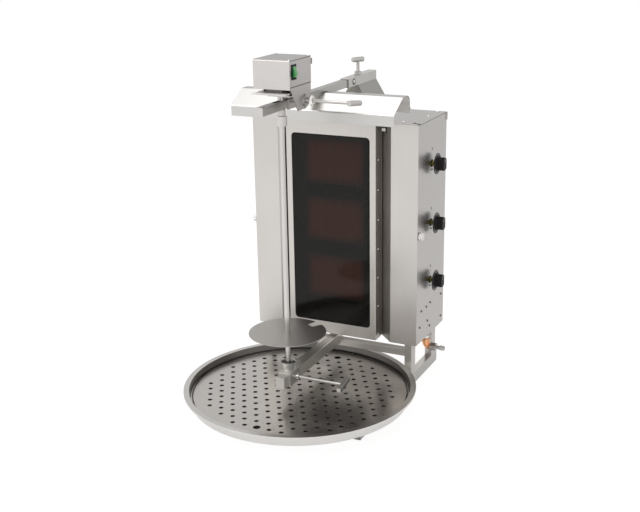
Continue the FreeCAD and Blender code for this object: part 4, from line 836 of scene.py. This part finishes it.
# ---------------------------------------------------------------- motor cover
COVER_TOP = 931.3
COVER_SIDE = 47.6
piece("cover_screw_domes", "chrome", "carriage", "bright",
      *[turned(P(43.5, y, COVER_TOP), Z, COVER_DOME, 20) for y in (-40.0, 62.0)])
piece("cover_rear_tab", "burner", "carriage", "dark", block(P(44.6, 72.0, 916.5), (5.0, 10.0, 14.0), 0.6),
      turned(P(-44.0, 62.0, COVER_TOP - 0.1), Z, TAB_DOME, 20))
piece("cover_skirt", "cover", "carriage", "steel", block(P(-1.2, -44.25, 864.2), (97.4, 1.5, 5.6), 0.05))
piece("cover_seams", "slit", "carriage", "dark",
      *blocks((((COVER_SIDE, 12.0, 866.9), (0.5, 110.0, 1.7)),
               ((COVER_SIDE, 13.0, 928.7), (0.5, 104.0, 0.9))), 0.1))
# painted shadow: near-black strips in the gap between the gear case and the cover, and near-black blocks for
# the mounting feet in that shade
piece("case_shadow_strip", "slit", "carriage", "dark",
      *blocks((((0, -30.7, 859.8), (61.0, 1.0, 3.4)), ((-28.0, -30.9, 858.5), (4.5, 1.6, 9.0)),
               ((25.0, -30.9, 858.5), (11.0, 1.6, 9.0)), ((30.6, 5.0, 861.0), (1.0, 70.0, 8.6))), 0.2))

# ---------------------------------------------------------------- lining of the hood
BEND_Y, BEND_Z = 240.0, 797.0
LINER_OUTER, LINER_INNER = 18.3, 17.7
LINER_LOW = 771.0
LINER_SPANS = ((104.0, 229.8), (-229.8, -104.0))


def bend(radius, turns):
    return [(BEND_Y + radius * math.sin(math.radians(a)), BEND_Z + radius * math.cos(math.radians(a)))
            for a in turns]


LINER = (bend(LINER_OUTER, range(0, 91, 10))
         + [(BEND_Y + LINER_OUTER, LINER_LOW), (BEND_Y + LINER_INNER, LINER_LOW)]
         + bend(LINER_INNER, range(90, -1, -10)))
piece("hood_liner", "liner", "stand", "steel",
      *[rings_to_shell([[P(x, y, z) for y, z in LINER] for x in span]) for span in LINER_SPANS])

# ---------------------------------------------------------------- pan
# painted shade: a near-black film on the pan's floor under the plate, so that the plate's holes look dark
piece("pan_shade_film", "shade_film", "pan", "dark", turned(P(PAN_X, PAN_Y, 31.6), Z, [(0, 282.0), (0.5, 281.5)], 128))
# painted shadow: a black ring in the crevice between the plate and the pan's wall
piece("pan_crevice_shadow", "slit", "pan", "dark",
      ring_of(P(PAN_X, PAN_Y, 44.1), Z, [(0, 284.7), (0, 286.2), (1.7, 287.0), (1.7, 286.4)], 160))

# ---------------------------------------------------------------- studio, in metres
SKY_COLOR, SKY_STRENGTH = (1.0, 0.99, 0.975, 1.0), 0.62
FLOOR_RADIUS, FLOOR_DROP = 9.0, 0.0002
FLOOR_COLOR = (0.86, 0.855, 0.85, 1.0)
FLOOR_GLOW = 1.18
GLOW_SHARE_SEEN, GLOW_SHARE_REFLECTED = 0.76, 0.50
AIM = (0, 0, 0.4)
LAMPS = (("key", (-1.6, -2.4, 2.9), 1.8, 26), ("overhead", (-0.7, 0.3, 3.2), 2.4, 22))   # place, size, power
CAMERA_AZIMUTH, CAMERA_ELEVATION, CAMERA_ROLL = 26.061, 17.684, -0.958
CAMERA_PLACE = (1197.5, -2250.5, 1246.5)       # in millimetres, as the pieces
FOCAL_PIXELS, PHOTO_WIDTH, SENSOR_WIDTH = 1060.7, 640.0, 36.0


def add_world():
    """A soft warm sky, which the camera, reflections and glass see as plain white."""
    world = bpy.data.worlds.new("studio")
    bpy.context.scene.world = world
    world.use_nodes = True
    t = Tree(world.node_tree)
    out = t.add("ShaderNodeOutputWorld")
    sky = t.add("ShaderNodeBackground")
    sky.inputs[0].default_value = SKY_COLOR
    sky.inputs[1].default_value = SKY_STRENGTH
    white = t.add("ShaderNodeBackground")
    white.inputs[0].default_value = (1, 1, 1, 1)
    white.inputs[1].default_value = 1.0
    path = t.add("ShaderNodeLightPath")
    seen = t.math("MAXIMUM", (path, "Is Camera Ray"), (path, "Is Glossy Ray"))
    t.mix_shaders(t.math("MAXIMUM", seen, (path, "Is Transmission Ray")), sky, white, out)


def add_floor():
    """A pale floor that looks white where no shadow falls on it."""
    bpy.ops.mesh.primitive_circle_add(vertices=96, radius=FLOOR_RADIUS, fill_type="NGON",
                                      location=(0, 0, -FLOOR_DROP))
    floor = bpy.context.object
    floor.name = "studio_floor"
    s = Shader("floor_paint")
    s.tree.nodes.remove(s.bsdf)
    diffuse = s.add("ShaderNodeBsdfDiffuse")
    diffuse.inputs[0].default_value = FLOOR_COLOR
    glow = s.add("ShaderNodeEmission")
    glow.inputs[0].default_value = (1, 1, 1, 1)
    glow.inputs[1].default_value = FLOOR_GLOW
    path = s.add("ShaderNodeLightPath")
    reflected = s.math("MAXIMUM", (path, "Is Glossy Ray"), (path, "Is Transmission Ray"))
    share = s.math("MAXIMUM", s.math("MULTIPLY", (path, "Is Camera Ray"), GLOW_SHARE_SEEN),
                   s.math("MULTIPLY", reflected, GLOW_SHARE_REFLECTED))
    s.mix_shaders(share, diffuse, glow, s.out)
    floor.data.materials.append(s.mat)


def add_lamp(name, place, size, power):
    """A soft square lamp that looks at the middle of the object."""
    data = bpy.data.lights.new(name, "AREA")
    data.shape = "RECTANGLE"
    data.size = size
    data.size_y = size
    data.energy = power
    lamp = bpy.data.objects.new(name, data)
    bpy.context.scene.collection.objects.link(lamp)
    lamp.location = place
    lamp.rotation_euler = (Vector(AIM) - Vector(place)).to_track_quat("-Z", "Y").to_euler()


def add_camera():
    """The camera, as it was solved from the straight edges of the body."""
    azimuth, elevation, roll = (math.radians(a) for a in (CAMERA_AZIMUTH, CAMERA_ELEVATION, CAMERA_ROLL))
    back = Vector((math.sin(azimuth) * math.cos(elevation), -math.cos(azimuth) * math.cos(elevation),
                   math.sin(elevation)))
    right = Vector((math.cos(azimuth), math.sin(azimuth), 0))
    up = back.cross(right)
    rolled_right = right * math.cos(roll) + up * math.sin(roll)
    rolled_up = up * math.cos(roll) - right * math.sin(roll)
    data = bpy.data.cameras.new("camera")
    data.sensor_width = SENSOR_WIDTH
    data.lens = FOCAL_PIXELS / PHOTO_WIDTH * SENSOR_WIDTH
    camera = bpy.data.objects.new("camera", data)
    bpy.context.scene.collection.objects.link(camera)
    turn = Matrix((rolled_right, rolled_up, back)).transposed().to_4x4()
    camera.matrix_world = Matrix.Translation(P(*CAMERA_PLACE)) @ turn
    bpy.context.scene.camera = camera


bpy.context.scene.view_settings.view_transform = "Standard"
add_world()
add_floor()
for lamp in LAMPS:
    add_lamp(*lamp)
add_camera()
